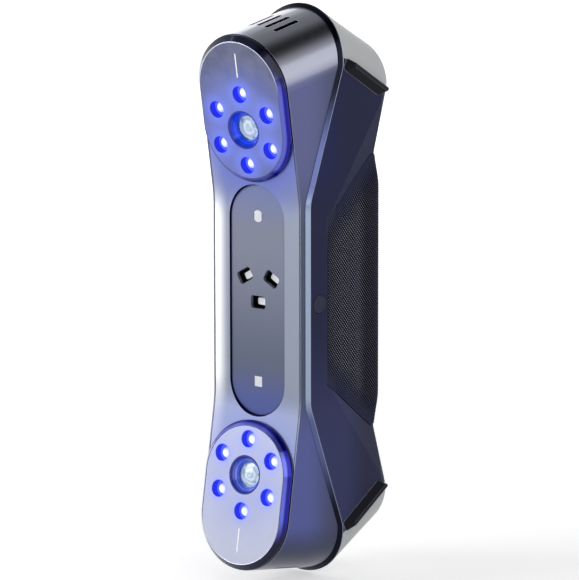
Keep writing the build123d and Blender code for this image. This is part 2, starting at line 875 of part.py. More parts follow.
with BuildPart() as laser_modules:
    with BuildSketch(front_plane(panel_back + laser_recess)):
        for x, z, _ in laser_places:
            with Locations((x, z)):
                Circle(laser_module_r)
    extrude(amount=-laser_module_length)
laser_modules.part.label = "laser_modules"
export_step(laser_modules.part, "parts/laser_modules.step")

with BuildPart() as laser_lenses:
    with BuildSketch(front_plane(panel_back + laser_recess)):
        for x, z, turn in laser_places:
            with Locations((x, z)):
                RectangleRounded(*laser_lens, laser_lens_r, rotation=turn)
    extrude(amount=laser_lens_thick)
laser_lenses.part.label = "laser_lenses"
export_step(laser_lenses.part, "parts/laser_lenses.step")

# Camera heads: pod, face, index line, lamps, lens and camera, the same above and below
for name, out in heads:
    with BuildPart() as pod_bezel:
        with BuildSketch(head_plane(out, pod_height - pod_foot_height)):
            add(pod_outline(pod_face_half + pod_bevel, out))
        extrude(amount=pod_height - pod_foot_height)
        rim = pod_bezel.faces().sort_by(lens_axis(out))[-1]
        chamfer(rim.edges(), length=pod_bevel)
        with BuildSketch(head_plane(out, pod_height)):
            add(pod_outline(pod_foot_half, out))
        extrude(amount=pod_foot_height)
        with BuildSketch(head_plane(out)):
            add(pod_outline(face_half, out))
        extrude(amount=-face_thick, mode=Mode.SUBTRACT)
        with BuildSketch(head_plane(out)):
            add(pod_openings())
        extrude(amount=-pod_height, mode=Mode.SUBTRACT)
    pod_bezel.part.label = f"{name}_pod_bezel"
    export_step(pod_bezel.part, f"parts/{name}_pod_bezel.step")

    with BuildPart() as pod_face:
        with BuildSketch(head_plane(out)):
            add(pod_outline(face_half, out))
            add(pod_openings(), mode=Mode.SUBTRACT)
            with Locations((0, out * (index_start + index_length / 2))):
                Rectangle(index_width, index_length, mode=Mode.SUBTRACT)
        extrude(amount=-face_thick)
    pod_face.part.label = f"{name}_pod_face"
    export_step(pod_face.part, f"parts/{name}_pod_face.step")

    with BuildPart() as index_line:
        with BuildSketch(head_plane(out)):
            with Locations((0, out * (index_start + index_length / 2))):
                Rectangle(index_width, index_length)
        extrude(amount=-face_thick)
    index_line.part.label = f"{name}_index_line"
    export_step(index_line.part, f"parts/{name}_index_line.step")

    with BuildPart() as lamp_domes:
        with BuildSketch(head_plane(out, fascia_back)):
            with PolarLocations(lamp_ring_r, lamp_count, start_angle=90):
                Circle(lamp_dome_r)
        extrude(amount=fascia_back - lamp_dome_depth)
        with Locations(head_plane(out, lamp_dome_depth)):
            with PolarLocations(lamp_ring_r, lamp_count, start_angle=90):
                Sphere(lamp_dome_r, arc_size1=0, align=(Align.CENTER, Align.CENTER, Align.MIN))
    lamp_domes.part.label = f"{name}_lamp_domes"
    export_step(lamp_domes.part, f"parts/{name}_lamp_domes.step")

    with BuildPart() as lamp_board:
        with BuildSketch(head_plane(out, fascia_back)):
            Circle(lamp_board_r)
            Circle(hood_r, mode=Mode.SUBTRACT)
        extrude(amount=-board_thick)
    lamp_board.part.label = f"{name}_lamp_board"
    export_step(lamp_board.part, f"parts/{name}_lamp_board.step")

    with BuildPart() as lens_hood:
        with BuildSketch(axis_plane(out)):
            with BuildLine():
                Polyline(
                    (hood_throat_r, hood_throat_depth),
                    (hood_mouth_r, hood_lip),
                    (hood_r, hood_lip),
                    (hood_r, fascia_back),
                    (barrel_r, fascia_back),
                    (barrel_r, barrel_front_depth),
                    (hood_throat_r, barrel_front_depth),
                    close=True,
                )
            make_face()
        revolve(axis=lens_axis(out))
    lens_hood.part.label = f"{name}_lens_hood"
    export_step(lens_hood.part, f"parts/{name}_lens_hood.step")

    with BuildPart() as lens_barrel:
        with BuildSketch(axis_plane(out)):
            with BuildLine():
                Polyline(
                    (glass_r, barrel_front_depth),
                    (barrel_r, barrel_front_depth),
                    (barrel_r, barrel_back_depth),
                    (barrel_bore_r, barrel_back_depth),
                    (barrel_bore_r, glass_back_depth),
                    (glass_r, glass_back_depth),
                    close=True,
                )
            make_face()
        revolve(axis=lens_axis(out))
    lens_barrel.part.label = f"{name}_lens_barrel"
    export_step(lens_barrel.part, f"parts/{name}_lens_barrel.step")

    with BuildPart() as lens_glass:
        with BuildSketch(axis_plane(out)):
            with BuildLine():
                Polyline(
                    (0, barrel_front_depth),
                    (0, glass_back_depth),
                    (glass_r, glass_back_depth),
                    (glass_r, glass_edge_depth),
                )
                TangentArc((0, barrel_front_depth), (glass_r, glass_edge_depth), tangent=(1, 0))
            make_face()
        revolve(axis=lens_axis(out))
    lens_glass.part.label = f"{name}_lens_glass"
    export_step(lens_glass.part, f"parts/{name}_lens_glass.step")

    with BuildPart() as lens_mount:
        with BuildSketch(head_plane(out, mount_front_depth)):
            RectangleRounded(mount_size, mount_size, barrel_r / 4)
            Circle(barrel_r, mode=Mode.SUBTRACT)
        extrude(amount=mount_front_depth - camera_board_depth)
        with BuildSketch(head_plane(out, sensor_room_depth)):
            Rectangle(sensor_room, sensor_room)
        extrude(amount=sensor_room_depth - camera_board_depth, mode=Mode.SUBTRACT)
    lens_mount.part.label = f"{name}_lens_mount"
    export_step(lens_mount.part, f"parts/{name}_lens_mount.step")

    with BuildPart() as camera_board:
        with BuildSketch(head_plane(out, camera_board_depth)):
            RectangleRounded(camera_board_size, camera_board_size, post_r)
            with GridLocations(camera_post_pitch, camera_post_pitch, 2, 2):
                Circle(board_screw_r, mode=Mode.SUBTRACT)
        extrude(amount=-board_thick)
    camera_board.part.label = f"{name}_camera_board"
    export_step(camera_board.part, f"parts/{name}_camera_board.step")

with BuildPart() as image_sensors:
    for _, out in heads:
        with BuildSketch(head_plane(out, camera_board_depth)):
            Rectangle(*sensor_size)
        extrude(amount=sensor_thick)
image_sensors.part.label = "image_sensors"
export_step(image_sensors.part, "parts/image_sensors.step")

# Optical bench: one stiff bent plate that carries cameras, lasers and boards
with BuildPart() as optical_bench:
    bench_front = fascia_line(bench_depth, bench_end_z)
    bench_rear = fascia_line(bench_back, bench_end_z)
    extrude(side_band(bench_front, bend_r, bench_rear, bend_r), amount=bench_half, both=True)
    with BuildSketch(front_plane(0)):
        with GridLocations(1, 2 * bench_window_z, 1, 2):
            RectangleRounded(*bench_window, post_r)
    extrude(amount=-rear_depth, mode=Mode.SUBTRACT)
    with BuildSketch(front_plane(boss_front_depth)):
        with GridLocations(2 * boss_x, 2 * boss_z, 2, 2):
            Circle(boss_r)
    extrude(amount=boss_front_depth - bench_depth + bench_thick / 2)
    for _, out in heads:
        with BuildSketch(head_plane(out, camera_board_depth + board_thick)):
            with GridLocations(camera_post_pitch, camera_post_pitch, 2, 2):
                Circle(post_r)
        extrude(amount=-camera_post_height - bench_thick / 2)
        with BuildSketch(head_plane(out, camera_board_depth)):
            with GridLocations(camera_post_pitch, camera_post_pitch, 2, 2):
                Circle(board_screw_r)
        extrude(amount=-board_thick - board_screw_length, mode=Mode.SUBTRACT)
    with BuildSketch(front_plane(0)):
        with GridLocations(2 * boss_x, 2 * boss_z, 2, 2):
            Circle(rear_screw_r)
    extrude(amount=-rear_depth, mode=Mode.SUBTRACT)
optical_bench.part.label = "optical_bench"
export_step(optical_bench.part, "parts/optical_bench.step")

# Posts that tie the fascia to the bench
with BuildPart() as fascia_posts:
    for _, out in heads:
        with BuildSketch(head_plane(out, fascia_back)):
            with Locations((post_x, out * post_along), (-post_x, out * post_along)):
                Circle(post_r)
        extrude(amount=fascia_thick - bench_depth)
fascia_posts.part.label = "fascia_posts"
export_step(fascia_posts.part, "parts/fascia_posts.step")

# Main board on standoffs, with its processor and finned heat sink
with BuildPart() as board_standoffs:
    with BuildSketch(front_plane(bench_back)):
        with GridLocations(2 * standoff_x, 2 * standoff_z, 2, 2):
            RegularPolygon(standoff_r, 6)
            Circle(board_screw_r, mode=Mode.SUBTRACT)
    extrude(amount=bench_back - board_depth)
board_standoffs.part.label = "board_standoffs"
export_step(board_standoffs.part, "parts/board_standoffs.step")

with BuildPart() as main_board:
    with BuildSketch(front_plane(board_depth)):
        RectangleRounded(2 * board_half, 2 * board_half_height, post_r)
        with GridLocations(2 * standoff_x, 2 * standoff_z, 2, 2):
            Circle(board_screw_r, mode=Mode.SUBTRACT)
    extrude(amount=-board_thick)
main_board.part.label = "main_board"
export_step(main_board.part, "parts/main_board.step")

with BuildPart() as processor:
    with BuildSketch(front_plane(board_depth + board_thick)):
        with Locations((0, chip_z)):
            Rectangle(chip_size, chip_size)
    extrude(amount=-chip_thick)
processor.part.label = "processor"
export_step(processor.part, "parts/processor.step")

with BuildPart() as heat_sink:
    with BuildSketch(front_plane(sink_depth)):
        with Locations((0, chip_z)):
            Rectangle(2 * sink_half, 2 * sink_half_height)
    extrude(amount=-sink_base)
    with BuildSketch(front_plane(sink_depth + sink_base)):
        with Locations((0, chip_z)):
            with GridLocations((2 * sink_half - fin_thick) / (fin_count - 1), 1, fin_count, 1):
                Rectangle(fin_thick, 2 * sink_half_height)
    extrude(amount=sink_base - sink_height)
heat_sink.part.label = "heat_sink"
export_step(heat_sink.part, "parts/heat_sink.step")

# Thumb button in the right side, its switch and the small board on the bench
with BuildPart() as side_button:
    with BuildSketch(side_plane(button_flange_x)):
        with Locations((button_depth, 0)):
            Circle(button_flange_r)
    extrude(amount=flange_thick)
    with BuildSketch(side_plane(button_flange_x)):
        with Locations((button_depth, 0)):
            Circle(button_r)
    extrude(amount=rear_half + button_proud - button_flange_x)
    with BuildSketch(side_plane(button_stem_x)):
        with Locations((button_depth, 0)):
            Circle(stem_r)
    extrude(amount=button_flange_x - button_stem_x)
side_button.part.label = "side_button"
export_step(side_button.part, "parts/side_button.step")

with BuildPart() as side_switch:
    with BuildSketch(side_plane(side_board_x + board_thick)):
        with Locations((button_depth, 0)):
            Rectangle(switch_size, switch_size)
    extrude(amount=switch_height)
    with BuildSketch(side_plane(side_switch_x)):
        with Locations((button_depth, 0)):
            Circle(switch_bore_r)
    extrude(amount=-switch_bore_depth, mode=Mode.SUBTRACT)
side_switch.part.label = "side_switch"
export_step(side_switch.part, "parts/side_switch.step")

with BuildPart() as side_switch_board:
    side_board_front = button_depth - switch_size
    with BuildSketch(side_plane(side_board_x)):
        with Locations(((side_board_front + bench_depth) / 2, 0)):
            Rectangle(bench_depth - side_board_front, 2 * switch_size)
    extrude(amount=board_thick)
side_switch_board.part.label = "side_switch_board"
export_step(side_switch_board.part, "parts/side_switch_board.step")

# Rear keys: a panel in the grip's window, three keys, their switches and board
with BuildPart() as key_panel:
    with BuildSketch(front_plane(waist_depth)):
        with Locations((0, key_z)):
            SlotOverall(2 * key_panel_half_height, 2 * key_panel_half, rotation=90)
        for _, step, radius in keys:
            with Locations((0, key_z + step * key_pitch)):
                Circle(radius + slide_gap, mode=Mode.SUBTRACT)
    extrude(amount=-key_panel_thick)
key_panel.part.label = "key_panel"
export_step(key_panel.part, "parts/key_panel.step")

for name, step, radius in keys:
    with BuildPart() as key:
        with BuildSketch(front_plane(key_flange_depth)):
            with Locations((0, key_z + step * key_pitch)):
                Circle(radius + key_flange)
        extrude(amount=-flange_thick)
        with BuildSketch(front_plane(key_flange_depth)):
            with Locations((0, key_z + step * key_pitch)):
                Circle(radius)
        extrude(amount=key_flange_depth - key_panel_depth - key_proud)
        cap_face = key.faces().sort_by(Axis.Y)[-1]
        fillet(cap_face.edges(), radius=key_proud / 2)
        with BuildSketch(front_plane(key_stem_depth)):
            with Locations((0, key_z + step * key_pitch)):
                Circle(stem_r)
        extrude(amount=key_stem_depth - key_flange_depth)
    key.part.label = f"{name}_key"
    export_step(key.part, f"parts/{name}_key.step")

with BuildPart() as key_switches:
    with BuildSketch(front_plane(key_switch_depth)):
        with Locations((0, key_z)):
            with GridLocations(1, key_pitch, 1, 3):
                Rectangle(switch_size, switch_size)
    extrude(amount=switch_height)
    with BuildSketch(front_plane(key_switch_depth)):
        with Locations((0, key_z)):
            with GridLocations(1, key_pitch, 1, 3):
                Circle(switch_bore_r)
    extrude(amount=switch_bore_depth, mode=Mode.SUBTRACT)
key_switches.part.label = "key_switches"
export_step(key_switches.part, "parts/key_switches.step")

with BuildPart() as key_board:
    with BuildSketch(front_plane(key_board_depth)):
        with Locations((0, key_z)):
            RectangleRounded(2 * (key_post_x + key_post_r), 2 * (key_post_z + key_post_r), board_screw_r)
    extrude(amount=-board_thick)
key_board.part.label = "key_board"
export_step(key_board.part, "parts/key_board.step")

# Data and power socket in the lower cap, on its own board
with BuildPart() as data_socket:
    with BuildSketch(front_plane(socket_mouth)):
        with Locations((0, socket_z)):
            SlotOverall(socket_width, socket_height)
    extrude(amount=socket_length)
    with BuildSketch(front_plane(socket_mouth)):
        with Locations((0, socket_z)):
            SlotOverall(socket_width - 2 * socket_wall, socket_height - 2 * socket_wall)
    extrude(amount=socket_length - socket_wall, mode=Mode.SUBTRACT)
data_socket.part.label = "data_socket"
export_step(data_socket.part, "parts/data_socket.step")

with BuildPart() as socket_tongue:
    with BuildSketch(front_plane(socket_mouth - socket_length + socket_wall)):
        with Locations((0, socket_z)):
            Rectangle(tongue_width, tongue_thick)
    extrude(amount=-tongue_length)
socket_tongue.part.label = "socket_tongue"
export_step(socket_tongue.part, "parts/socket_tongue.step")

with BuildPart() as socket_board:
    with BuildSketch(front_plane(rear_depth - rear_wall)):
        with Locations((0, socket_board_z + board_thick / 2)):
            Rectangle(2 * socket_board_half, board_thick)
    extrude(amount=socket_board_length)
socket_board.part.label = "socket_board"
export_step(socket_board.part, "parts/socket_board.step")

# Screws, each kind one group
with BuildPart() as rear_screws:
    with BuildSketch(front_plane(bore_floor_depth)):
        with GridLocations(2 * boss_x, 2 * boss_z, 2, 2):
            Circle(rear_screw_head_r)
            RegularPolygon(rear_screw_r, 6, mode=Mode.SUBTRACT)
    extrude(amount=-rear_screw_head)
    with BuildSketch(front_plane(bore_floor_depth)):
        with GridLocations(2 * boss_x, 2 * boss_z, 2, 2):
            Circle(rear_screw_r)
    extrude(amount=bore_floor_depth - bench_depth)
rear_screws.part.label = "rear_screws"
export_step(rear_screws.part, "parts/rear_screws.step")

with BuildPart() as cap_screws:
    for _, out in heads:
        for _, side in sides:
            with BuildSketch(bumper_plane(out, side, bumper_base_half)):
                with Locations((0, -out * side * cap_screw_drop)):
                    with GridLocations(cap_screw_pitch, 1, 2, 1):
                        Circle(cap_screw_head_r)
            extrude(amount=-cap_screw_head)
            with BuildSketch(bumper_plane(out, side, bumper_base_half)):
                with Locations((0, -out * side * cap_screw_drop)):
                    with GridLocations(cap_screw_pitch, 1, 2, 1):
                        Circle(cap_screw_r)
            extrude(amount=lip_outside - lip_thick - bumper_base_half)
cap_screws.part.label = "cap_screws"
export_step(cap_screws.part, "parts/cap_screws.step")

with BuildPart() as board_screws:
    for _, out in heads:
        with BuildSketch(head_plane(out, camera_board_depth)):
            with GridLocations(camera_post_pitch, camera_post_pitch, 2, 2):
                Circle(board_screw_head_r)
        extrude(amount=board_screw_head)
        with BuildSketch(head_plane(out, camera_board_depth)):
            with GridLocations(camera_post_pitch, camera_post_pitch, 2, 2):
                Circle(board_screw_r)
        extrude(amount=-board_thick - board_screw_length)
    with BuildSketch(front_plane(board_depth + board_thick)):
        with GridLocations(2 * standoff_x, 2 * standoff_z, 2, 2):
            Circle(board_screw_head_r)
    extrude(amount=-board_screw_head)
    with BuildSketch(front_plane(board_depth + board_thick)):
        with GridLocations(2 * standoff_x, 2 * standoff_z, 2, 2):
            Circle(board_screw_r)
    extrude(amount=board_thick + board_screw_length)
board_screws.part.label = "board_screws"
export_step(board_screws.part, "parts/board_screws.step")
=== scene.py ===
import math

import bmesh
import bpy
from mathutils import Matrix, Vector
from mathutils.bvhtree import BVHTree


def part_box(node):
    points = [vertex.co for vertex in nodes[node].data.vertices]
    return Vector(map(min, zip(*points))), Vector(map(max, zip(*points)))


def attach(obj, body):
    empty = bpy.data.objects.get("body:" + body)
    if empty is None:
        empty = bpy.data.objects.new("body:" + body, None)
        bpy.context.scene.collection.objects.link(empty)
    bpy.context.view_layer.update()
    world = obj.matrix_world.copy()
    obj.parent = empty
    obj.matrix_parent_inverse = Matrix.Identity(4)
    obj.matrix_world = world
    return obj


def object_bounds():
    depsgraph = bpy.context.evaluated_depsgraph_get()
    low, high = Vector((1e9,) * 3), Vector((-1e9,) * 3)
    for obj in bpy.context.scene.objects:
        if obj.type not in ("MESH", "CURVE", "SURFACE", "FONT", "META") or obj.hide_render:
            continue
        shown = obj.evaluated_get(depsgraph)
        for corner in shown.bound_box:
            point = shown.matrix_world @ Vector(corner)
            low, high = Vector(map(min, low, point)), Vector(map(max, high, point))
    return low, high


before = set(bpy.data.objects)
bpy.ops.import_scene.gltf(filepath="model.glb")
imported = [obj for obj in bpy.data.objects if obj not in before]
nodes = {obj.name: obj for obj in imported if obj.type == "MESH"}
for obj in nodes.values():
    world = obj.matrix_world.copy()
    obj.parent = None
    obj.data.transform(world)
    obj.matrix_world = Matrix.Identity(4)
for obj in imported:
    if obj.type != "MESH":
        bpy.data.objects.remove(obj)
cad_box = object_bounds()

MM = 0.001
HEADS = ("upper", "lower")
SIDES = ("right", "left")
WELD = 0.001 * MM
EDGE = 0.22 * MM
EDGE_SAMPLES = 6
RIDGE_SAMPLES = 8
RIDGE_MATCH = (0.88, 0.995)


# Node helpers

def add_node(tree, kind, inputs=None, **props):
    """A node with its properties set and its inputs linked or set."""
    node = tree.nodes.new(kind)
    for key, value in props.items():
        setattr(node, key, value)
    for key, value in (inputs or {}).items():
        if isinstance(value, bpy.types.NodeSocket):
            tree.links.new(value, node.inputs[key])
        else:
            node.inputs[key].default_value = value
    return node


class Shader:
    """One procedural material with a Principled shader and short ways to add nodes to it."""

    def __init__(self, name, **sockets):
        self.mat = bpy.data.materials.new(name)
        self.mat.use_nodes = True
        self.tree = self.mat.node_tree
        self.tree.nodes.clear()
        out = self.node("ShaderNodeOutputMaterial")
        self.bsdf = self.node("ShaderNodeBsdfPrincipled")
        self.tree.links.new(self.bsdf.outputs[0], out.inputs[0])
        self.coords = self.node("ShaderNodeTexCoord").outputs["Object"]
        for key, value in sockets.items():
            self.set(key.replace("_", " "), value)

    def set(self, socket, value):
        """Sets a constant on one of the shader's own sockets."""
        if isinstance(value, tuple):
            value = (*value, 1.0)
        self.bsdf.inputs[socket].default_value = value

    def link(self, socket, output):
        """Links a node's output to one of the shader's own sockets."""
        self.tree.links.new(output, self.bsdf.inputs[socket])

    def node(self, kind, inputs=None, **props):
        """A node in this material."""
        return add_node(self.tree, kind, inputs, **props)

    def noise(self, scale, detail=3.0):
        """Noise over the object's own coordinates, in steps of 1 / scale metres."""
        inputs = {"Vector": self.coords, "Scale": scale, "Detail": detail}
        return self.node("ShaderNodeTexNoise", inputs).outputs["Fac"]

    def math(self, op, a, b=0.0):
        """Result of one of Blender's math operations."""
        return self.node("ShaderNodeMath", {0: a, 1: b}, operation=op).outputs[0]

    def times(self, a, b):
        """a multiplied by b."""
        return self.math("MULTIPLY", a, b)

    def size(self, value):
        """value without its sign."""
        return self.math("ABSOLUTE", value)

    def waves(self, value, pitch):
        """Sine of value, with one wave for each pitch."""
        return self.math("SINE", self.times(value, 2 * math.pi / pitch))

    def vector(self, op, a, b):
        """A node for one of Blender's vector operations."""
        return self.node("ShaderNodeVectorMath", {0: a, 1: b}, operation=op)

    def place(self, axis):
        """X, Y or Z of the shaded point, in metres."""
        return self.node("ShaderNodeSeparateXYZ", {0: self.coords}).outputs[axis]

    def facing(self, axis):
        """X, Y or Z of the surface's direction."""
        normal = self.node("ShaderNodeNewGeometry").outputs["Normal"]
        return self.node("ShaderNodeSeparateXYZ", {0: normal}).outputs[axis]

    def spread(self, value, low, high, to_low=0.0, to_high=1.0):
        """value brought smoothly from low..high to to_low..to_high."""
        inputs = {0: value, 1: low, 2: high, 3: to_low, 4: to_high}
        return self.node("ShaderNodeMapRange", inputs, interpolation_type="SMOOTHSTEP").outputs[0]

    def fade(self, value, start, end, full=1.0):
        """full up to start, then smoothly down to 0 at end."""
        return self.spread(value, start, end, full, 0.0)

    def mix(self, share, a, b):
        """Colour between a and b."""
        a, b = [c if isinstance(c, bpy.types.NodeSocket) else (*c, 1.0) for c in (a, b)]
        return self.node("ShaderNodeMix", {0: share, 6: a, 7: b}, data_type="RGBA").outputs[2]

    def relief(self, height, strength, distance, edge=0.0):
        """Fine bump, with the solid's sharp edges softened over a radius of edge metres."""
        inputs = {"Height": height, "Strength": strength, "Distance": distance}
        if edge:
            soft = self.node("ShaderNodeBevel", {"Radius": edge}, samples=EDGE_SAMPLES)
            inputs["Normal"] = soft.outputs[0]
        self.link("Normal", self.node("ShaderNodeBump", inputs).outputs[0])

    def ridge(self, radius):
        """1 on the solid's sharp edges and 0 on its faces."""
        soft = self.node("ShaderNodeBevel", {"Radius": radius}, samples=RIDGE_SAMPLES).outputs[0]
        flat = self.node("ShaderNodeNewGeometry").outputs["Normal"]
        match = self.vector("DOT_PRODUCT", soft, flat).outputs["Value"]
        return self.fade(match, *RIDGE_MATCH)

    def along(self, origin, axis):
        """How far the shaded point lies from origin along an axis, in metres."""
        gap = self.vector("SUBTRACT", self.coords, tuple(origin)).outputs[0]
        return self.vector("DOT_PRODUCT", gap, tuple(axis)).outputs["Value"]

    def nearest(self, points):
        """Distance from the shaded point to the nearest of these points, in metres."""
        gaps = [self.vector("DISTANCE", self.coords, tuple(p)).outputs["Value"] for p in points]
        best = gaps[0]
        for gap in gaps[1:]:
            best = self.math("MINIMUM", best, gap)
        return best


def rgb(r, g, b):
    """A screen colour of 0 to 255 as the linear colour that renders as it."""
    def linear(c):
        c /= 255
        return c / 12.92 if c <= 0.04045 else ((c + 0.055) / 1.055) ** 2.4
    return (linear(r), linear(g), linear(b))


def paint(shader, *names):
    """Gives CAD nodes a material."""
    for name in names:
        nodes[name].data.materials.clear()
        nodes[name].data.materials.append(shader.mat)


def of_heads(part):
    """Names of the nodes that are this part of the upper and lower head."""
    return [f"{head}_{part}" for head in HEADS]


def islands(obj):
    """Middles of a mesh's loose parts, in the part's frame."""
    bm = bmesh.new()
    bm.from_mesh(obj.data)
    bmesh.ops.remove_doubles(bm, verts=bm.verts, dist=WELD)
    left = set(bm.verts)
    middles = []
    while left:
        stack = [left.pop()]
        low = stack[0].co.copy()
        high = stack[0].co.copy()
        while stack:
            vert = stack.pop()
            low = Vector(map(min, low, vert.co))
            high = Vector(map(max, high, vert.co))
            for edge in vert.link_edges:
                other = edge.other_vert(vert)
                if other in left:
                    left.remove(other)
                    stack.append(other)
        middles.append((low + high) / 2)
    bm.free()
    return middles


def middle(name):
    """Middle of a node's box."""
    low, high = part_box(name)
    return (Vector(low) + Vector(high)) / 2


# Finishes that several materials share

FINE_GRAIN = 3000.0
DRIFT_SCALE = 60.0
DRIFT_DETAIL = 4.0
BLAST_DETAIL = 2.0
BLAST_SPREAD = (0.2, 0.8)
BLAST_BUMP = 0.02
BLAST_DEPTH = 0.02 * MM
METAL_DRIFT = 0.05
METAL_SWING = 0.04
MOULD_SPREAD = (0.25, 0.75)
MOULD_DEPTH = 0.05 * MM
MOULD_DRIFT = 0.08
MOULD_SWING = 0.06


def mottle(shader, colour, drift, scale=DRIFT_SCALE):
    """Base colour that drifts a little over the surface."""
    dark = tuple(c * (1 - drift) for c in colour)
    light = tuple(min(1.0, c * (1 + drift)) for c in colour)
    return shader.mix(shader.noise(scale, DRIFT_DETAIL), dark, light)


def worn_and_highlit(shader, tone, light, share, reach=EDGE):
    """tone with lighter edges, which are edge wear with a painted highlight."""
    return shader.mix(shader.times(shader.ridge(reach), share), tone, light)


def blast(shader, smoothest, roughest):
    """Gives a shader the fine, even grain of blasted metal."""
    fine = shader.noise(FINE_GRAIN, BLAST_DETAIL)
    shader.link("Roughness", shader.spread(fine, *BLAST_SPREAD, smoothest, roughest))
    shader.relief(fine, BLAST_BUMP, BLAST_DEPTH, EDGE)


def satin_metal(name, rough, colour=None, metal=1.0):
    """Fine-blasted metal, with its base colour left open where none is given."""
    s = Shader(name, Metallic=metal)
    if colour:
        s.link("Base Color", mottle(s, colour, METAL_DRIFT))
    blast(s, rough - METAL_SWING, rough + METAL_SWING)
    return s


def moulded(name, rough, colour=None, grain=0.2, gloss=0.5, edge=EDGE):
    """Moulded plastic or rubber with a fine eroded grain; the base colour may be left open."""
    s = Shader(name, Specular_IOR_Level=gloss)
    if colour:
        s.link("Base Color", mottle(s, colour, MOULD_DRIFT))
    fine = s.noise(FINE_GRAIN)
    s.link("Roughness", s.spread(fine, *MOULD_SPREAD, rough - MOULD_SWING, rough + MOULD_SWING))
    s.relief(fine, grain, MOULD_DEPTH, edge)
    return s


# Blue glow of the lamps, and the blue lamp light painted on nearby surfaces: their tones and the places
# that they are worked out from

GLOW_BLUE = (0.08, 0.14, 1.0)
DEEP_GLOW = (0.16, 0.22, 1.0)
HOLE_GLOW_BLUE = rgb(18, 28, 190)
LAMP_LIT_BLUE = rgb(92, 108, 246)
SIDEWAYS = (0.35, 0.6)
LAMP_WALL = (4.0 * MM, 6.0 * MM)

hood_middle = {head: middle(f"{head}_lens_hood") for head in HEADS}
glass_middle = {head: middle(f"{head}_lens_glass") for head in HEADS}
lamp_middles = {head: islands(nodes[f"{head}_lamp_domes"]) for head in HEADS}


def sideways(shader):
    """1 on walls that run front to back, and 0 on surfaces that face the front or back."""
    return shader.fade(shader.size(shader.facing("Y")), *SIDEWAYS)


def hole_wall(shader, head):
    """1 on the walls of a head's lamp holes, which face sideways close to a lamp, and 0 elsewhere."""
    near = shader.fade(shader.nearest(lamp_middles[head]), *LAMP_WALL)
    return shader.times(sideways(shader), near)


# Front: fascia, centre panel, its lights and lasers

FASCIA_GRAY = rgb(134, 141, 158)
FASCIA_HIGHLIGHT = rgb(252, 252, 254)
HIGHLIGHT_X = (-20.5 * MM, -14 * MM)
HIGHLIGHT_Z = (28 * MM, 46 * MM)
HIGHLIGHT_LEAST = 0.2
HALO = {"upper": 0.7, "lower": 0.3}
HALO_REACH = (20 * MM, 42 * MM)
HALO_BLUE = rgb(92, 108, 206)
SEAT_X = (14.0 * MM, 15.0 * MM)
SEAT_Z = (45.6 * MM, 46.6 * MM)
SEAT_SHADE = rgb(12, 14, 78)
FASCIA_HOLE_GLOW = 0.5


def paint_fascia():
    """Satin metal with painted light: a painted highlight on its left edge, painted blue lamp glow round
    the pods, painted shade on the panel seat's walls, and lamp hole walls with painted blue glow.
    """
    s = satin_metal("fascia satin", rough=0.36, metal=0.6)
    height = s.size(s.place("Z"))
    # Painted highlight: the fascia is lighter towards its left edge, strongest along the waist.
    pale = s.times(s.fade(s.place("X"), *HIGHLIGHT_X), s.spread(height, *HIGHLIGHT_Z, 1.0, HIGHLIGHT_LEAST))
    tone = s.mix(pale, FASCIA_GRAY, FASCIA_HIGHLIGHT)
    # Painted light: blue lamp glow painted on the fascia round each pod.
    for head in HEADS:
        halo = s.fade(s.nearest([hood_middle[head]]), *HALO_REACH, HALO[head])
        tone = s.mix(halo, tone, HALO_BLUE)
    # Painted shade: dark navy on the sideways walls of the panel's seat.
    in_seat = s.times(s.fade(s.size(s.place("X")), *SEAT_X), s.fade(height, *SEAT_Z))
    tone = s.mix(s.times(sideways(s), in_seat), tone, SEAT_SHADE)
    # Painted lamp light: the lamp holes' walls are painted blue and given a glow.
    wall = s.math("MAXIMUM", hole_wall(s, "upper"), hole_wall(s, "lower"))
    s.link("Base Color", s.mix(wall, tone, LAMP_LIT_BLUE))
    s.set("Emission Color", DEEP_GLOW)
    s.link("Emission Strength", s.times(wall, FASCIA_HOLE_GLOW))
    paint(s, "front_fascia")


PANEL_GRAY = rgb(113, 118, 136)
PANEL_SHADE = rgb(84, 91, 112)
PANEL_SHADE_Z = (-30 * MM, 22 * MM)
PANEL_LOW_GLOW = rgb(72, 84, 146)
PANEL_LOW_Z = (-44 * MM, -22 * MM)
PANEL_TOP_GLOW = rgb(102, 112, 154)
PANEL_TOP_Z = (26 * MM, 44 * MM)
LINE_NAVY = rgb(26, 30, 84)
LINE_START = 0.5 * MM
LINE_FULL = 0.15 * MM
LINE_SHARE = 0.75


def paint_panel():
    """Satin metal, darker below as painted shade and bluer at its ends as painted lamp glow, with a dark
    line round its outline.
    """
    s = satin_metal("panel satin", rough=0.42, metal=0.5)
    x, z = s.place("X"), s.place("Z")
    # Painted light: darker below as painted shade, bluer at both ends as painted blue lamp glow.
    tone = s.mix(s.fade(z, *PANEL_SHADE_Z), PANEL_GRAY, PANEL_SHADE)
    tone = s.mix(s.fade(z, *PANEL_LOW_Z), tone, PANEL_LOW_GLOW)
    tone = s.mix(s.spread(z, *PANEL_TOP_Z), tone, PANEL_TOP_GLOW)
    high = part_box("centre_panel")[1]
    half = high[0]
    spine = high[2] - half
    past_spine = s.math("MAXIMUM", s.math("SUBTRACT", s.size(z), spine), 0.0)
    off_spine = s.math("SQRT", s.math("ADD", s.times(x, x), s.times(past_spine, past_spine)))
    line = s.spread(off_spine, half - LINE_START, half - LINE_FULL, 0.0, LINE_SHARE)
    s.link("Base Color", s.mix(line, tone, LINE_NAVY))
    paint(s, "centre_panel")


WINDOW_WHITE = rgb(234, 236, 244)
WINDOW_FRAME = rgb(96, 101, 122)
WINDOW_FRAME_X = (1.6 * MM, 1.95 * MM)
LASER_GLASS = rgb(222, 226, 232)
LASER_GLOW = (0.95, 0.96, 1.0)
SMALL_GLASS_SCALE = 900.0


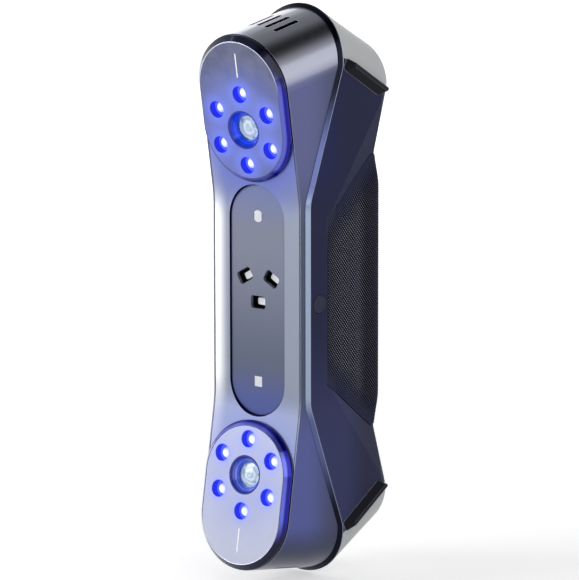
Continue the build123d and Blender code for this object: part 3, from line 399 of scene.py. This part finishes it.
def paint_windows():
    """White light windows with gray sides, and the faintly lit laser lenses."""
    s = Shader("light window", Roughness=0.2)
    frame_share = s.spread(s.size(s.place("X")), *WINDOW_FRAME_X)
    white = mottle(s, WINDOW_WHITE, drift=0.05, scale=SMALL_GLASS_SCALE)
    s.link("Base Color", s.mix(frame_share, white, WINDOW_FRAME))
    paint(s, "round_light_window", "square_light_window")

    s = Shader("laser lens", Roughness=0.12, Emission_Strength=0.25, Emission_Color=LASER_GLOW)
    s.link("Base Color", mottle(s, LASER_GLASS, drift=0.06, scale=SMALL_GLASS_SCALE))
    paint(s, "laser_lenses")


paint_fascia()
paint_panel()
paint_windows()


# Shells: front housing, trim, rear housing, end caps, bumpers

SHELL_SIDE = {"upper": rgb(84, 88, 126), "lower": rgb(84, 91, 146)}
SHELL_SIDE_Z = (-70 * MM, 60 * MM)
SHELL_BACK = rgb(70, 74, 98)
SHELL_FRONT_Y = (-18 * MM, 2 * MM)
SHELL_WAIST = rgb(72, 79, 96)
SHELL_WAIST_Z = (28 * MM, 56 * MM)
SHELL_UNDER_SHADE = rgb(48, 53, 78)
SHELL_UNDER_TURN = (-0.7, 0.0)
SHELL_TOP_REFLECTION = rgb(134, 136, 148)
SHELL_TOP_TURN = (0.0, 0.3)
SHELL_WORN_HIGHLIGHT = rgb(196, 200, 212)


def paint_front_housing():
    """Smooth satin metal whose tones for waist, sides, back edge, underside and top are painted
    reflections and painted shade, not its own colour.
    """
    s = satin_metal("front shell", rough=0.21)
    z, turn = s.place("Z"), s.facing("Z")
    # Painted light: the side, back and waist tones are painted reflections, the underside gets painted
    # shade and the top a painted reflection.
    tone = s.mix(s.fade(z, *SHELL_SIDE_Z), SHELL_SIDE["upper"], SHELL_SIDE["lower"])
    tone = s.mix(s.fade(s.place("Y"), *SHELL_FRONT_Y), SHELL_BACK, tone)
    tone = s.mix(s.spread(s.size(z), *SHELL_WAIST_Z), SHELL_WAIST, tone)
    tone = s.mix(s.fade(turn, *SHELL_UNDER_TURN), tone, SHELL_UNDER_SHADE)
    tone = s.mix(s.spread(turn, *SHELL_TOP_TURN), tone, SHELL_TOP_REFLECTION)
    # Edges: wear with a painted highlight.
    s.link("Base Color", worn_and_highlit(s, tone, SHELL_WORN_HIGHLIGHT, share=0.6))
    paint(s, "front_housing")


TRIM_WAIST = rgb(144, 158, 184)
TRIM_SLOPE = rgb(84, 93, 138)
TRIM_SLOPE_Z = (34 * MM, 46 * MM)
TRIM_HEAD_SHADE = rgb(16, 18, 32)
TRIM_HEAD_Z = (54 * MM, 84 * MM)
TRIM_LAND_HIGHLIGHT = rgb(150, 156, 172)
TRIM_LAND_TURN = (0.3, 0.5)
TRIM_LAND_SHARE = 0.8


def paint_trim():
    """Metal strip with painted light: light waist and sideways faces and bluer slopes as painted
    reflections, dark round the heads as painted shade.
    """
    s = satin_metal("seam trim", rough=0.2, metal=0.9)
    height = s.size(s.place("Z"))
    # Painted light: light waist and bluer slopes are painted reflections, the dark heads painted shade,
    # the light land a painted highlight.
    tone = s.mix(s.spread(height, *TRIM_SLOPE_Z), TRIM_WAIST, TRIM_SLOPE)
    tone = s.mix(s.spread(height, *TRIM_HEAD_Z), tone, TRIM_HEAD_SHADE)
    land = s.fade(s.size(s.facing("Y")), *TRIM_LAND_TURN, TRIM_LAND_SHARE)
    s.link("Base Color", s.mix(land, tone, TRIM_LAND_HIGHLIGHT))
    paint(s, "seam_trim")


REAR_NAVY = rgb(33, 37, 74)
REAR_LOW_FRONT = rgb(62, 67, 112)
REAR_LOW_BACK = rgb(46, 48, 78)
REAR_LOW_Y = (2 * MM, 20 * MM)
REAR_LOW_Z = (-56 * MM, -4 * MM)
REAR_UPPER_FRONT = rgb(33, 42, 98)
REAR_UPPER_Y = (-12 * MM, 6 * MM)
REAR_UPPER_Z = (34 * MM, 62 * MM)
REAR_WORN_HIGHLIGHT = rgb(124, 128, 152)


def paint_rear_housing():
    """Navy plastic, with painted light that makes it lighter in its lower part and bluer at its upper
    front.
    """
    s = moulded("rear shell", rough=0.46, gloss=0.1)
    y, z = s.place("Y"), s.place("Z")
    # Painted light: lighter in the lower part, most at its front, and bluer at the upper front.
    low_tone = s.mix(s.spread(y, *REAR_LOW_Y), REAR_LOW_FRONT, REAR_LOW_BACK)
    tone = s.mix(s.fade(z, *REAR_LOW_Z), mottle(s, REAR_NAVY, MOULD_DRIFT), low_tone)
    upper_front = s.times(s.spread(z, *REAR_UPPER_Z), s.fade(y, *REAR_UPPER_Y))
    tone = s.mix(upper_front, tone, REAR_UPPER_FRONT)
    # Edges: wear with a painted highlight.
    s.link("Base Color", worn_and_highlit(s, tone, REAR_WORN_HIGHLIGHT, share=0.5))
    paint(s, "rear_housing")


CAP_GRAY = rgb(222, 224, 227)
CAP_WORN_HIGHLIGHT = rgb(248, 249, 250)
BUMPER_BLACK = rgb(7, 9, 24)
BUMPER_EDGE_HIGHLIGHT = rgb(176, 182, 200)


def paint_caps_and_bumpers():
    """Light gray end caps with worn edges that carry a painted highlight, and black rubber bumpers with
    painted highlights on their edges.
    """
    s = moulded("end cap", rough=0.4, grain=0.1, gloss=0.15)
    s.link("Base Color", worn_and_highlit(s, mottle(s, CAP_GRAY, drift=0.03), CAP_WORN_HIGHLIGHT, share=0.6))
    paint(s, *of_heads("end_cap"))

    s = moulded("bumper rubber", rough=0.24, grain=0.05, gloss=0.12, edge=2 * EDGE)
    tone = mottle(s, BUMPER_BLACK, drift=0.1)
    # Painted highlights on the bumpers' edges.
    s.link("Base Color", worn_and_highlit(s, tone, BUMPER_EDGE_HIGHLIGHT, share=1.0, reach=3 * EDGE))
    for side in SIDES:
        paint(s, *of_heads(f"{side}_bumper"))


paint_front_housing()
paint_trim()
paint_rear_housing()
paint_caps_and_bumpers()


# Heads: pods, lamps, lenses, index lines

BEVEL_NAVY = rgb(6, 7, 34)
BEVEL_GLOW_BLUE = rgb(5, 7, 150)
BEVEL_INNER_NAVY = rgb(10, 12, 52)
BEVEL_INNER_GLOW_BLUE = rgb(96, 104, 214)
BEVEL_SCALE = 80.0
BEVEL_DARK, BEVEL_LIGHT = 1.35 * MM, 0.85 * MM
BEVEL_LIT = (10 * MM, 19 * MM)
RIM_PALE = rgb(214, 218, 236)
RIM_BLUE = rgb(78, 84, 140)
RIM_TURN = (0.86, 0.95)
BEZEL_HOLE_GLOW = 0.16
BEZEL_GRAIN = 900.0


def paint_bezel(head):
    """Polished pod bevel with two bands that are painted reflections, a thin front rim, painted blue
    lamp glow near the lamps, and lamp hole walls with painted blue glow.
    """
    s = Shader(f"{head} pod bezel", Roughness=0.1, Metallic=0.6, Coat_Weight=0.12, Coat_Roughness=0.04)
    lens = glass_middle[head]
    axis = (lens - middle(f"{head}_lens_barrel")).normalized()
    rim_height = max((v.co - lens).dot(axis) for v in nodes[f"{head}_pod_bezel"].data.vertices)
    # Painted reflection: a lighter band near the front rim and a darker outer band across the bevel.
    inner = s.spread(s.along(lens, axis), rim_height - BEVEL_DARK, rim_height - BEVEL_LIGHT)
    # Painted lamp light: bluer near the lamps.
    lit = s.fade(s.nearest(lamp_middles[head]), *BEVEL_LIT)
    outer_tone = s.mix(lit, mottle(s, BEVEL_NAVY, drift=0.12, scale=BEVEL_SCALE), BEVEL_GLOW_BLUE)
    inner_tone = s.mix(lit, BEVEL_INNER_NAVY, BEVEL_INNER_GLOW_BLUE)
    rim = s.spread(s.size(s.facing("Y")), *RIM_TURN)
    tone = s.mix(rim, s.mix(inner, outer_tone, inner_tone), s.mix(lit, RIM_PALE, RIM_BLUE))
    # Painted lamp light: the lamp holes' walls are painted blue and glow.
    wall = hole_wall(s, head)
    s.link("Base Color", s.mix(wall, tone, HOLE_GLOW_BLUE))
    s.set("Emission Color", GLOW_BLUE)
    s.link("Emission Strength", s.times(wall, BEZEL_HOLE_GLOW))
    s.relief(s.noise(BEZEL_GRAIN), BLAST_BUMP, BLAST_DEPTH, EDGE)
    paint(s, f"{head}_pod_bezel")


FACE_TONE = {"upper": rgb(80, 85, 118), "lower": rgb(180, 185, 208)}
FACE_CLOUD = rgb(206, 210, 232)
CLOUD_SCALE = 90.0
CLOUD_SPREAD = (0.3, 0.7)
CLOUD_SHARE = 0.12
WASH = {"upper": 0.85, "lower": 0.3}
WASH_REACH = (10 * MM, 32 * MM)
WASH_VIOLET = rgb(114, 130, 220)
SPOT = {"upper": 0.45, "lower": 0.4}
SPOT_START = 3.0 * MM
SPOT_REACH = {"upper": 9 * MM, "lower": 7.5 * MM}
SPOT_BLUE = rgb(120, 134, 252)
SPOT_GLOW = 0.4
SPOT_GLOW_START = 2.8 * MM
FACE_HOLE_GLOW = 0.03
FACE_ROUGH = (0.28, 0.38)


def paint_face(head):
    """Satin pod face with painted lamp light: violet glow round the lens, blue glow and emission round
    the lamps, blue glowing hole walls; per-head tones are painted light.
    """
    s = Shader(f"{head} pod face", Metallic=0.3)
    near = s.nearest(lamp_middles[head])
    cloud = s.spread(s.noise(CLOUD_SCALE), *CLOUD_SPREAD, 0.0, CLOUD_SHARE)
    wash = s.fade(s.nearest([hood_middle[head]]), *WASH_REACH, WASH[head])
    # Painted light: a violet lamp glow round the lens; the upper and lower faces' different tones are
    # painted light.
    tone = s.mix(wash, s.mix(cloud, FACE_TONE[head], FACE_CLOUD), WASH_VIOLET)
    # Painted lamp light: blue round the lamps.
    tone = s.mix(s.fade(near, SPOT_START, SPOT_REACH[head], SPOT[head]), tone, SPOT_BLUE)
    wall = hole_wall(s, head)
    s.link("Base Color", s.mix(wall, tone, HOLE_GLOW_BLUE))
    s.set("Emission Color", GLOW_BLUE)
    # Painted glow round the lamps, given as emission.
    glow = s.fade(near, SPOT_GLOW_START, SPOT_REACH[head], SPOT_GLOW * SPOT[head])
    glow = s.times(glow, s.math("SUBTRACT", 1.0, wall))
    s.link("Emission Strength", s.math("ADD", glow, s.times(wall, FACE_HOLE_GLOW)))
    blast(s, *FACE_ROUGH)
    paint(s, f"{head}_pod_face")


LAMP_DOME = rgb(150, 164, 252)
LAMP_SCALE = 700.0
LAMP_WHITE = (0.9, 0.93, 1.0)
LAMP_CORE = (1.4 * MM, 2.5 * MM)
LAMP_STRENGTH = (1.4, 0.5)


def paint_lamps(head):
    """Lit lamp domes, white in the middle and blue at the rim."""
    s = Shader(f"{head} lamp", Roughness=0.15)
    off_axis = s.nearest(lamp_middles[head])
    s.link("Base Color", mottle(s, LAMP_DOME, drift=0.04, scale=LAMP_SCALE))
    s.link("Emission Color", s.mix(s.spread(off_axis, *LAMP_CORE), LAMP_WHITE, GLOW_BLUE))
    s.link("Emission Strength", s.spread(off_axis, *LAMP_CORE, *LAMP_STRENGTH))
    paint(s, f"{head}_lamp_domes")


HOOD_TONE = {"upper": rgb(34, 74, 220), "lower": rgb(134, 150, 226)}
HOOD_DARK = {"upper": rgb(12, 28, 130), "lower": rgb(62, 78, 168)}
HOOD_RIM = rgb(14, 22, 110)
HOOD_RIM_REACH = (6.8 * MM, 7.8 * MM)
HOOD_SCALE = 200.0
HOOD_STEP = 1.1 * MM
HOOD_STEP_SPREAD = (0.2, 0.9)
HOOD_GLOW_BLUE = (0.01, 0.06, 0.95)
HOOD_GLOW = {"upper": 0.55, "lower": 0.25}
HOOD_GLOW_REACH = (5.0 * MM, 7.4 * MM)


def paint_hood(head):
    """Blue lens funnel with darker ring steps and rim and a painted glow; its upper and lower tones
    differ as painted light.
    """
    s = Shader(f"{head} lens hood", Roughness=0.2, Metallic=0.3, Emission_Color=HOOD_GLOW_BLUE)
    depth = s.nearest([glass_middle[head]])
    ring = s.spread(s.waves(depth, HOOD_STEP), *HOOD_STEP_SPREAD)
    tone = s.mix(ring, mottle(s, HOOD_TONE[head], drift=0.15, scale=HOOD_SCALE), HOOD_DARK[head])
    s.link("Base Color", s.mix(s.spread(depth, *HOOD_RIM_REACH), tone, HOOD_RIM))
    # Painted glow: the funnel emits though it is no lamp.
    glow = HOOD_GLOW[head]
    s.link("Emission Strength", s.spread(depth, *HOOD_GLOW_REACH, glow, glow / 2))
    paint(s, f"{head}_lens_hood")


COATING_REFLECTION = (rgb(164, 188, 212), rgb(220, 235, 248))
COATING_GLOW = (0.7, 0.88, 1.0)
RING_PITCH = 1.7 * MM
RING_WARP = 3.0 * MM
RING_SCALE = 260.0
RING_SPREAD = (-0.9, 0.9)
GLINT = rgb(70, 96, 150)
GLINT_SCALE = 420.0
GLINT_SPREAD = (0.54, 0.62)
GLINT_REACH = (2.2 * MM, 4.2 * MM)
GLINT_SHARE = 0.8
GLASS_DETAIL = 1.0


def paint_glass(head):
    """Coated front glass painted bright as painted reflection, in warped rings, with a faint painted
    glow and a few dark painted glints near its rim.
    """
    # The glass is given a faint painted glow.
    s = Shader(f"{head} lens glass", Roughness=0.04, IOR=1.52, Coat_Weight=0.6, Transmission_Weight=0.1,
               Emission_Color=COATING_GLOW, Emission_Strength=0.16)
    off_axis = s.nearest([glass_middle[head]])
    # Painted reflection: bright warped rings over the glass.
    warped = s.math("ADD", off_axis, s.times(s.noise(RING_SCALE, GLASS_DETAIL), RING_WARP))
    tone = s.mix(s.spread(s.waves(warped, RING_PITCH), *RING_SPREAD), *COATING_REFLECTION)
    # Painted reflection: a few dark glints near the rim.
    glint = s.spread(s.noise(GLINT_SCALE, GLASS_DETAIL), *GLINT_SPREAD)
    glint = s.times(glint, s.spread(off_axis, *GLINT_REACH, 0.0, GLINT_SHARE))
    s.link("Base Color", s.mix(glint, tone, GLINT))
    paint(s, f"{head}_lens_glass")


for head in HEADS:
    paint_bezel(head)
    paint_face(head)
    paint_lamps(head)
    paint_hood(head)
    paint_glass(head)

# White print for the index lines and key signs, with a painted glow from its emission.
glowing_ink = moulded("index line", rough=0.45, colour=rgb(246, 247, 250), grain=0.1)
glowing_ink.set("Emission Color", (1.0, 1.0, 1.0))
glowing_ink.set("Emission Strength", 0.25)
paint(glowing_ink, *of_heads("index_line"))


# Inside parts, keys and socket

LAMP_BOARD_REACH = (4.0 * MM, 8.0 * MM)
LAMP_BOARD_GLOW = 0.35
KEY_PANEL_SCALE = 70.0

black = moulded("black anodised", rough=0.4, colour=rgb(7, 7, 10), grain=0.1, gloss=0.12)
paint(black, "laser_block", "laser_modules", *of_heads("lens_mount"))

barrel = satin_metal("blue anodised", rough=0.25, colour=rgb(62, 92, 176))
paint(barrel, *of_heads("lens_barrel"))

board = moulded("circuit board", rough=0.35, colour=rgb(22, 78, 52))
paint(board, "panel_light_boards", "main_board", "side_switch_board", "key_board", "socket_board")
paint(board, *of_heads("camera_board"))

# Painted lamp light: the lamp boards are painted lamp-lit blue and glow near the lamps.
lamp_board = moulded("lamp board", rough=0.35, colour=LAMP_LIT_BLUE)
lamp_board.set("Emission Color", DEEP_GLOW)
near_lamp = lamp_board.nearest(lamp_middles["upper"] + lamp_middles["lower"])
lamp_board.link("Emission Strength", lamp_board.fade(near_lamp, *LAMP_BOARD_REACH, LAMP_BOARD_GLOW))
paint(lamp_board, *of_heads("lamp_board"))

bench = satin_metal("bench aluminium", rough=0.35, colour=rgb(186, 188, 192))
paint(bench, "optical_bench", "heat_sink")

brass = satin_metal("brass", rough=0.3, colour=rgb(205, 172, 104))
paint(brass, "fascia_posts", "board_standoffs")

chips = moulded("black plastic", rough=0.5, colour=rgb(24, 24, 28))
paint(chips, "image_sensors", "processor", "key_switches", "side_switch", "socket_tongue")

steel = satin_metal("steel", rough=0.25, colour=rgb(176, 178, 184))
paint(steel, "rear_screws", "cap_screws", "board_screws", "data_socket")

key_plastic = moulded("key", rough=0.4, colour=rgb(46, 49, 76), gloss=0.12)
paint(key_plastic, "plus_key", "scan_key", "minus_key", "side_button")

plate = Shader("key panel", Roughness=0.16, Coat_Weight=0.4)
plate.link("Base Color", mottle(plate, rgb(18, 20, 28), drift=0.15, scale=KEY_PANEL_SCALE))
paint(plate, "key_panel")


# Grip: rubber sleeve, and a knurl of small pyramids over its sides, corners and back

KNURL_PITCH = 1.3 * MM
KNURL_ROW = 1.5 * MM
KNURL_FILL = 0.47
KNURL_HEIGHT = 0.42 * MM
KNURL_LEAST = 0.3
KNURL_SINK = 0.06 * MM
KNURL_FADE = 9.0 * MM
GRIP_CORNER = 7.0 * MM
SLANT_START = 32.0 * MM
SLANT_RUN = 28.0 * MM
RAY_START = 30.0 * MM
FACING_LEAST = 0.5

grip_low, grip_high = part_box("grip_sleeve")
slant_slope = (grip_high[2] - SLANT_START) / SLANT_RUN


def steps(start, end, pitch):
    """Middles of the even steps of about one pitch from start to end."""
    count = max(1, round(abs(end - start) / pitch))
    return [start + (end - start) * (i + 0.5) / count for i in range(count)]


def grip_stations(pitch):
    """Plan points and outward directions round the sleeve, from its right front edge to its left one."""
    half = grip_high[0] - GRIP_CORNER
    back = grip_high[1] - GRIP_CORNER
    side = [(grip_high[0], y, 0.0) for y in steps(grip_low[1], back, pitch)]
    turn = [math.pi / 2 * t for t in steps(0, 1, pitch / (GRIP_CORNER * math.pi / 2))]
    corner = [(half + GRIP_CORNER * math.cos(a), back + GRIP_CORNER * math.sin(a), a) for a in turn]
    rear = [(x, grip_high[1], math.pi / 2) for x in steps(half, 0, pitch)]
    right = side + corner + rear
    left = [(-x, y, math.pi - a) for x, y, a in reversed(right)]
    return [(Vector((x, y, 0)), Vector((math.cos(a), math.sin(a), 0))) for x, y, a in right + left]


def knurl_height(point):
    """Full height in the middle of the grip, less towards its slanted ends."""
    end_z = min(grip_high[2], SLANT_START + (point.y - grip_low[1]) * slant_slope)
    share = (end_z - abs(point.z)) / KNURL_FADE
    return KNURL_HEIGHT * min(1.0, max(KNURL_LEAST, share))


def on_sleeve(tree, points, outward):
    """Places and directions on the sleeve, or None if a point misses it, faces away or lies far off."""
    hits = [tree.ray_cast(p + outward * RAY_START, -outward, 2 * RAY_START)[:2] for p in points]
    if any(place is None or normal.dot(outward) < FACING_LEAST for place, normal in hits):
        return None
    if max((place - hits[0][0]).length for place, normal in hits) > KNURL_ROW:
        return None
    return hits


def knurl():
    """All pyramids as one mesh; each base lies just under the sleeve's surface."""
    sleeve = nodes["grip_sleeve"].data
    tree = BVHTree.FromPolygons([v.co for v in sleeve.vertices], [p.vertices for p in sleeve.polygons])
    bm = bmesh.new()
    tips = bm.verts.layers.float.new("tip")
    rows = steps(grip_low[2], grip_high[2], KNURL_ROW)
    upright = Vector((0, 0, KNURL_ROW * KNURL_FILL))
    for column, (at, outward) in enumerate(grip_stations(KNURL_PITCH / 2)):
        across = Vector((-outward.y, outward.x, 0)) * KNURL_PITCH * KNURL_FILL
        shift = KNURL_ROW / 2 if column % 2 else 0.0
        for row in rows:
            spot = Vector((at.x, at.y, row + shift))
            points = [spot, spot + across, spot + upright, spot - across, spot - upright]
            hits = on_sleeve(tree, points, outward)
            if not hits:
                continue
            (centre, normal), *corners = hits
            tip = bm.verts.new(centre + normal * knurl_height(centre))
            tip[tips] = 1.0
            base = [bm.verts.new(place - direction * KNURL_SINK) for place, direction in corners]
            for i, corner in enumerate(base):
                bm.faces.new((corner, base[(i + 1) % len(base)], tip))
            bm.faces.new(reversed(base))
    mesh = bpy.data.meshes.new("grip_knurl")
    bm.to_mesh(mesh)
    bm.free()
    return mesh


def piece(name, mesh, shader, body):
    """A new object that rides a body and takes a material slot's finish."""
    mesh.materials.append(shader.mat)
    obj = bpy.data.objects.new(name, mesh)
    bpy.context.scene.collection.objects.link(obj)
    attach(obj, body)


SLANT_FADE = 16.0 * MM
GRIP_BLACK = rgb(14, 15, 26)
GRIP_NAVY = rgb(34, 37, 70)
TIP_WORN_HIGHLIT = (0.45, 0.8)
TIP_FRONT = rgb(164, 160, 190)
TIP_HIGHLIGHT_BAND = rgb(198, 202, 228)
TIP_BACK = rgb(120, 118, 142)
TIP_NAVY = rgb(52, 56, 92)
BAND_FRONT_Y = (-3.0 * MM, 3.0 * MM)
BAND_BACK_Y = (12.0 * MM, 18.0 * MM)
KNURL_BLACK = rgb(3, 3, 9)
KNURL_NAVY = rgb(24, 26, 52)


def inside_slant(shader):
    """0 at the sleeve's slanted ends and 1 from SLANT_FADE inside them."""
    climb = shader.times(shader.math("SUBTRACT", shader.place("Y"), grip_low[1]), slant_slope)
    end = shader.math("MINIMUM", shader.math("ADD", climb, SLANT_START), grip_high[2])
    gap = shader.math("SUBTRACT", end, shader.size(shader.place("Z")))
    return shader.spread(gap, 0.0, SLANT_FADE)


def paint_grip():
    """Black rubber that turns navy, like the rear housing, towards its slanted ends."""
    s = moulded("grip rubber", rough=0.42, grain=0.25, gloss=0.1, edge=0.0)
    s.link("Base Color", s.mix(inside_slant(s), GRIP_NAVY, mottle(s, GRIP_BLACK, MOULD_DRIFT)))
    paint(s, "grip_sleeve")


def knurl_rubber():
    """Black rubber whose light tips are wear with a painted highlight, lightest in a painted highlight
    band along the middle of the sides.
    """
    s = Shader("knurl rubber", Specular_IOR_Level=0.08, Roughness=0.45)
    inside = inside_slant(s)
    y = s.place("Y")
    # Painted highlight: the tips are lightest in a band along the middle of the sides.
    tip_tone = s.mix(s.spread(y, *BAND_FRONT_Y), TIP_FRONT, TIP_HIGHLIGHT_BAND)
    tip_tone = s.mix(s.spread(y, *BAND_BACK_Y), tip_tone, TIP_BACK)
    tip_tone = s.mix(inside, TIP_NAVY, tip_tone)
    low_tone = s.mix(inside, KNURL_NAVY, mottle(s, KNURL_BLACK, drift=0.1))
    tip = s.node("ShaderNodeAttribute", attribute_name="tip").outputs["Fac"]
    # Tips: wear with a painted highlight.
    s.link("Base Color", s.mix(s.spread(tip, *TIP_WORN_HIGHLIT), low_tone, tip_tone))
    return s


paint_grip()
piece("grip_knurl", knurl(), knurl_rubber(), "scanner_body")


# Key signs: raised plus, minus and scan marks on the rear keys

SIGN_ARM = 1.5 * MM
SIGN_BAR = 0.28 * MM
SIGN_THICK = 0.12 * MM
SCAN_R = 1.9 * MM
SCAN_CORNERS = 3


def sign(name, outline):
    """Thin raised mark on a key's top; outline is (across, up) points seen from behind."""
    low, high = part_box(name)
    x, z = (low[0] + high[0]) / 2, (low[2] + high[2]) / 2
    bm = bmesh.new()
    floor_ring = [bm.verts.new((x - u, high[1] - SIGN_THICK, z + v)) for u, v in outline]
    top_ring = [bm.verts.new((x - u, high[1] + SIGN_THICK, z + v)) for u, v in outline]
    for i, corner in enumerate(floor_ring):
        j = (i + 1) % len(outline)
        bm.faces.new((corner, floor_ring[j], top_ring[j], top_ring[i]))
    bm.faces.new(top_ring)
    bm.faces.new(reversed(floor_ring))
    bmesh.ops.recalc_face_normals(bm, faces=bm.faces)
    mesh = bpy.data.meshes.new(f"{name}_sign")
    bm.to_mesh(mesh)
    bm.free()
    piece(f"{name}_sign", mesh, glowing_ink, name)


arm, bar = SIGN_ARM, SIGN_BAR
sign("minus_key", [(-arm, -bar), (arm, -bar), (arm, bar), (-arm, bar)])
sign("plus_key", [(-arm, -bar), (-bar, -bar), (-bar, -arm), (bar, -arm), (bar, -bar), (arm, -bar),
                  (arm, bar), (bar, bar), (bar, arm), (-bar, arm), (-bar, bar), (-arm, bar)])
turns = [2 * math.pi * i / SCAN_CORNERS for i in range(SCAN_CORNERS)]
sign("scan_key", [(SCAN_R * math.cos(t), SCAN_R * math.sin(t)) for t in turns])


# Camera: solved from the photo's pod circles

AZIMUTH = math.radians(39.033)
ELEVATION = math.radians(11.156)
ROLL = math.radians(-0.087)
UNIT = 0.932 * MM
AWAY, RIGHTWARD, UPWARD = 1776.148, 12.559, 4.205
PANEL_SUNK = 0.7 * MM
AIM_BACK = 1.172 * MM
SENSOR = 36.0
LENS = 268.4

right = Vector((math.cos(AZIMUTH), math.sin(AZIMUTH), 0))
level = math.cos(ELEVATION)
ahead = Vector((-math.sin(AZIMUTH) * level, math.cos(AZIMUTH) * level, -math.sin(ELEVATION)))
up = right.cross(ahead)
fascia_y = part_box("centre_panel")[0][1] - PANEL_SUNK
offset = (RIGHTWARD * right + UPWARD * up - AWAY * ahead) * UNIT

cam_data = bpy.data.cameras.new("camera")
cam_data.sensor_fit = "VERTICAL"
cam_data.sensor_height = SENSOR
cam_data.sensor_width = SENSOR
cam_data.lens = LENS
cam = bpy.data.objects.new("camera", cam_data)
turn = Matrix((right, up, -ahead)).transposed().to_4x4()
place = Vector((0, fascia_y + AIM_BACK, 0)) + offset
cam.matrix_world = Matrix.Translation(place) @ turn @ Matrix.Rotation(ROLL, 4, "Z")
bpy.context.scene.collection.objects.link(cam)
bpy.context.scene.camera = cam


# Light: soft boxes, each with its direction, distance, size and power

SOFT_BOXES = {
    "key": ((-0.75, -0.75, 0.45), 1.3, (0.7, 1.0), 9.0),
    "fill": ((0.6, -0.63, 0.42), 1.4, (0.8, 1.0), 3.0),
    "rim": ((0.62, 0.6, 0.3), 1.2, (0.6, 0.6), 1.2),
    "back": ((-0.65, 0.68, 0.3), 1.2, (0.9, 0.5), 1.4),
    "top": ((0.0, 0.1, 1.0), 1.3, (0.8, 0.8), 0.7),
}


def soft_box(name, direction, distance, size, power):
    """An area lamp that stands off in a direction and looks at the origin."""
    data = bpy.data.lights.new(name, "AREA")
    data.shape = "RECTANGLE"
    data.size, data.size_y = size
    data.energy = power
    obj = bpy.data.objects.new(name, data)
    toward = Vector(direction).normalized()
    obj.location = toward * distance
    obj.rotation_euler = (-toward).to_track_quat("-Z", "Y").to_euler()
    bpy.context.scene.collection.objects.link(obj)


for name, setting in SOFT_BOXES.items():
    soft_box(name, *setting)


# Room: white to the camera and through glass, soft as light, and with a dark ceiling in reflections

ROOM_SOFT = 0.28
CEILING_EDGE = (0.52, 0.72)
CEILING_TURN = (-0.15, 0.2)
CEILING_LEFT, CEILING_RIGHT = 0.5, 0.02

world = bpy.data.worlds.new("studio")
world.use_nodes = True
bpy.context.scene.world = world
world.node_tree.nodes.clear()


def room_node(kind, inputs=None, **props):
    """A node in the world."""
    return add_node(world.node_tree, kind, inputs, **props)


def room_spread(value, span, to_low, to_high):
    """value brought smoothly from span to to_low..to_high."""
    inputs = {0: value, 1: span[0], 2: span[1], 3: to_low, 4: to_high}
    return room_node("ShaderNodeMapRange", inputs, interpolation_type="SMOOTHSTEP").outputs[0]


def room_mix(share, a, b):
    """Number between a and b."""
    return room_node("ShaderNodeMix", {0: share, 2: a, 3: b}).outputs[0]


direction = room_node("ShaderNodeTexCoord").outputs["Generated"]
heading = room_node("ShaderNodeSeparateXYZ", {0: direction}).outputs
ceiling = room_spread(heading["X"], CEILING_TURN, CEILING_LEFT, CEILING_RIGHT)
overhead = room_spread(heading["Z"], CEILING_EDGE, 1.0, ceiling)
ray = room_node("ShaderNodeLightPath").outputs
direct = {0: ray["Is Camera Ray"], 1: ray["Is Transmission Ray"]}
clear = room_node("ShaderNodeMath", direct, operation="MAXIMUM").outputs[0]
mirrored = room_mix(ray["Is Glossy Ray"], ROOM_SOFT, overhead)
strength = room_mix(clear, mirrored, 1.0)
room = room_node("ShaderNodeBackground", {"Color": (1, 1, 1, 1), "Strength": strength})
room_node("ShaderNodeOutputWorld", {0: room.outputs[0]})


# Floor: pale paper that is white to the camera and in reflections, and keeps the shadow

FLOOR_HALF = 6.0
FLOOR_SEGMENTS = 8
FLOOR_GAP = 0.5 * MM
FLOOR_REACH = (0.25, 1.6)
FLOOR_GLOW = (0.5, 1.0)
PAPER = ((0.84, 0.84, 0.85), (0.88, 0.88, 0.88))
PAPER_SCALE = 3.0

bm = bmesh.new()
bmesh.ops.create_grid(bm, x_segments=FLOOR_SEGMENTS, y_segments=FLOOR_SEGMENTS, size=FLOOR_HALF)
floor_mesh = bpy.data.meshes.new("floor")
bm.to_mesh(floor_mesh)
bm.free()
floor = bpy.data.objects.new("floor", floor_mesh)
floor.location.z = cad_box[0][2] - FLOOR_GAP
bpy.context.scene.collection.objects.link(floor)

paper = Shader("floor", Roughness=0.9, Specular_IOR_Level=0.1, Emission_Color=(1.0, 1.0, 1.0))
paper.link("Base Color", paper.mix(paper.noise(PAPER_SCALE), *PAPER))
ray = paper.node("ShaderNodeLightPath").outputs
shown = paper.math("MAXIMUM", ray["Is Glossy Ray"], ray["Is Transmission Ray"])
shown = paper.math("MAXIMUM", ray["Is Camera Ray"], shown)
glow = paper.spread(paper.nearest([(0, 0, 0)]), *FLOOR_REACH, *FLOOR_GLOW)
paper.link("Emission Strength", paper.times(shown, glow))
floor_mesh.materials.append(paper.mat)

bpy.context.scene.view_settings.view_transform = "Standard"
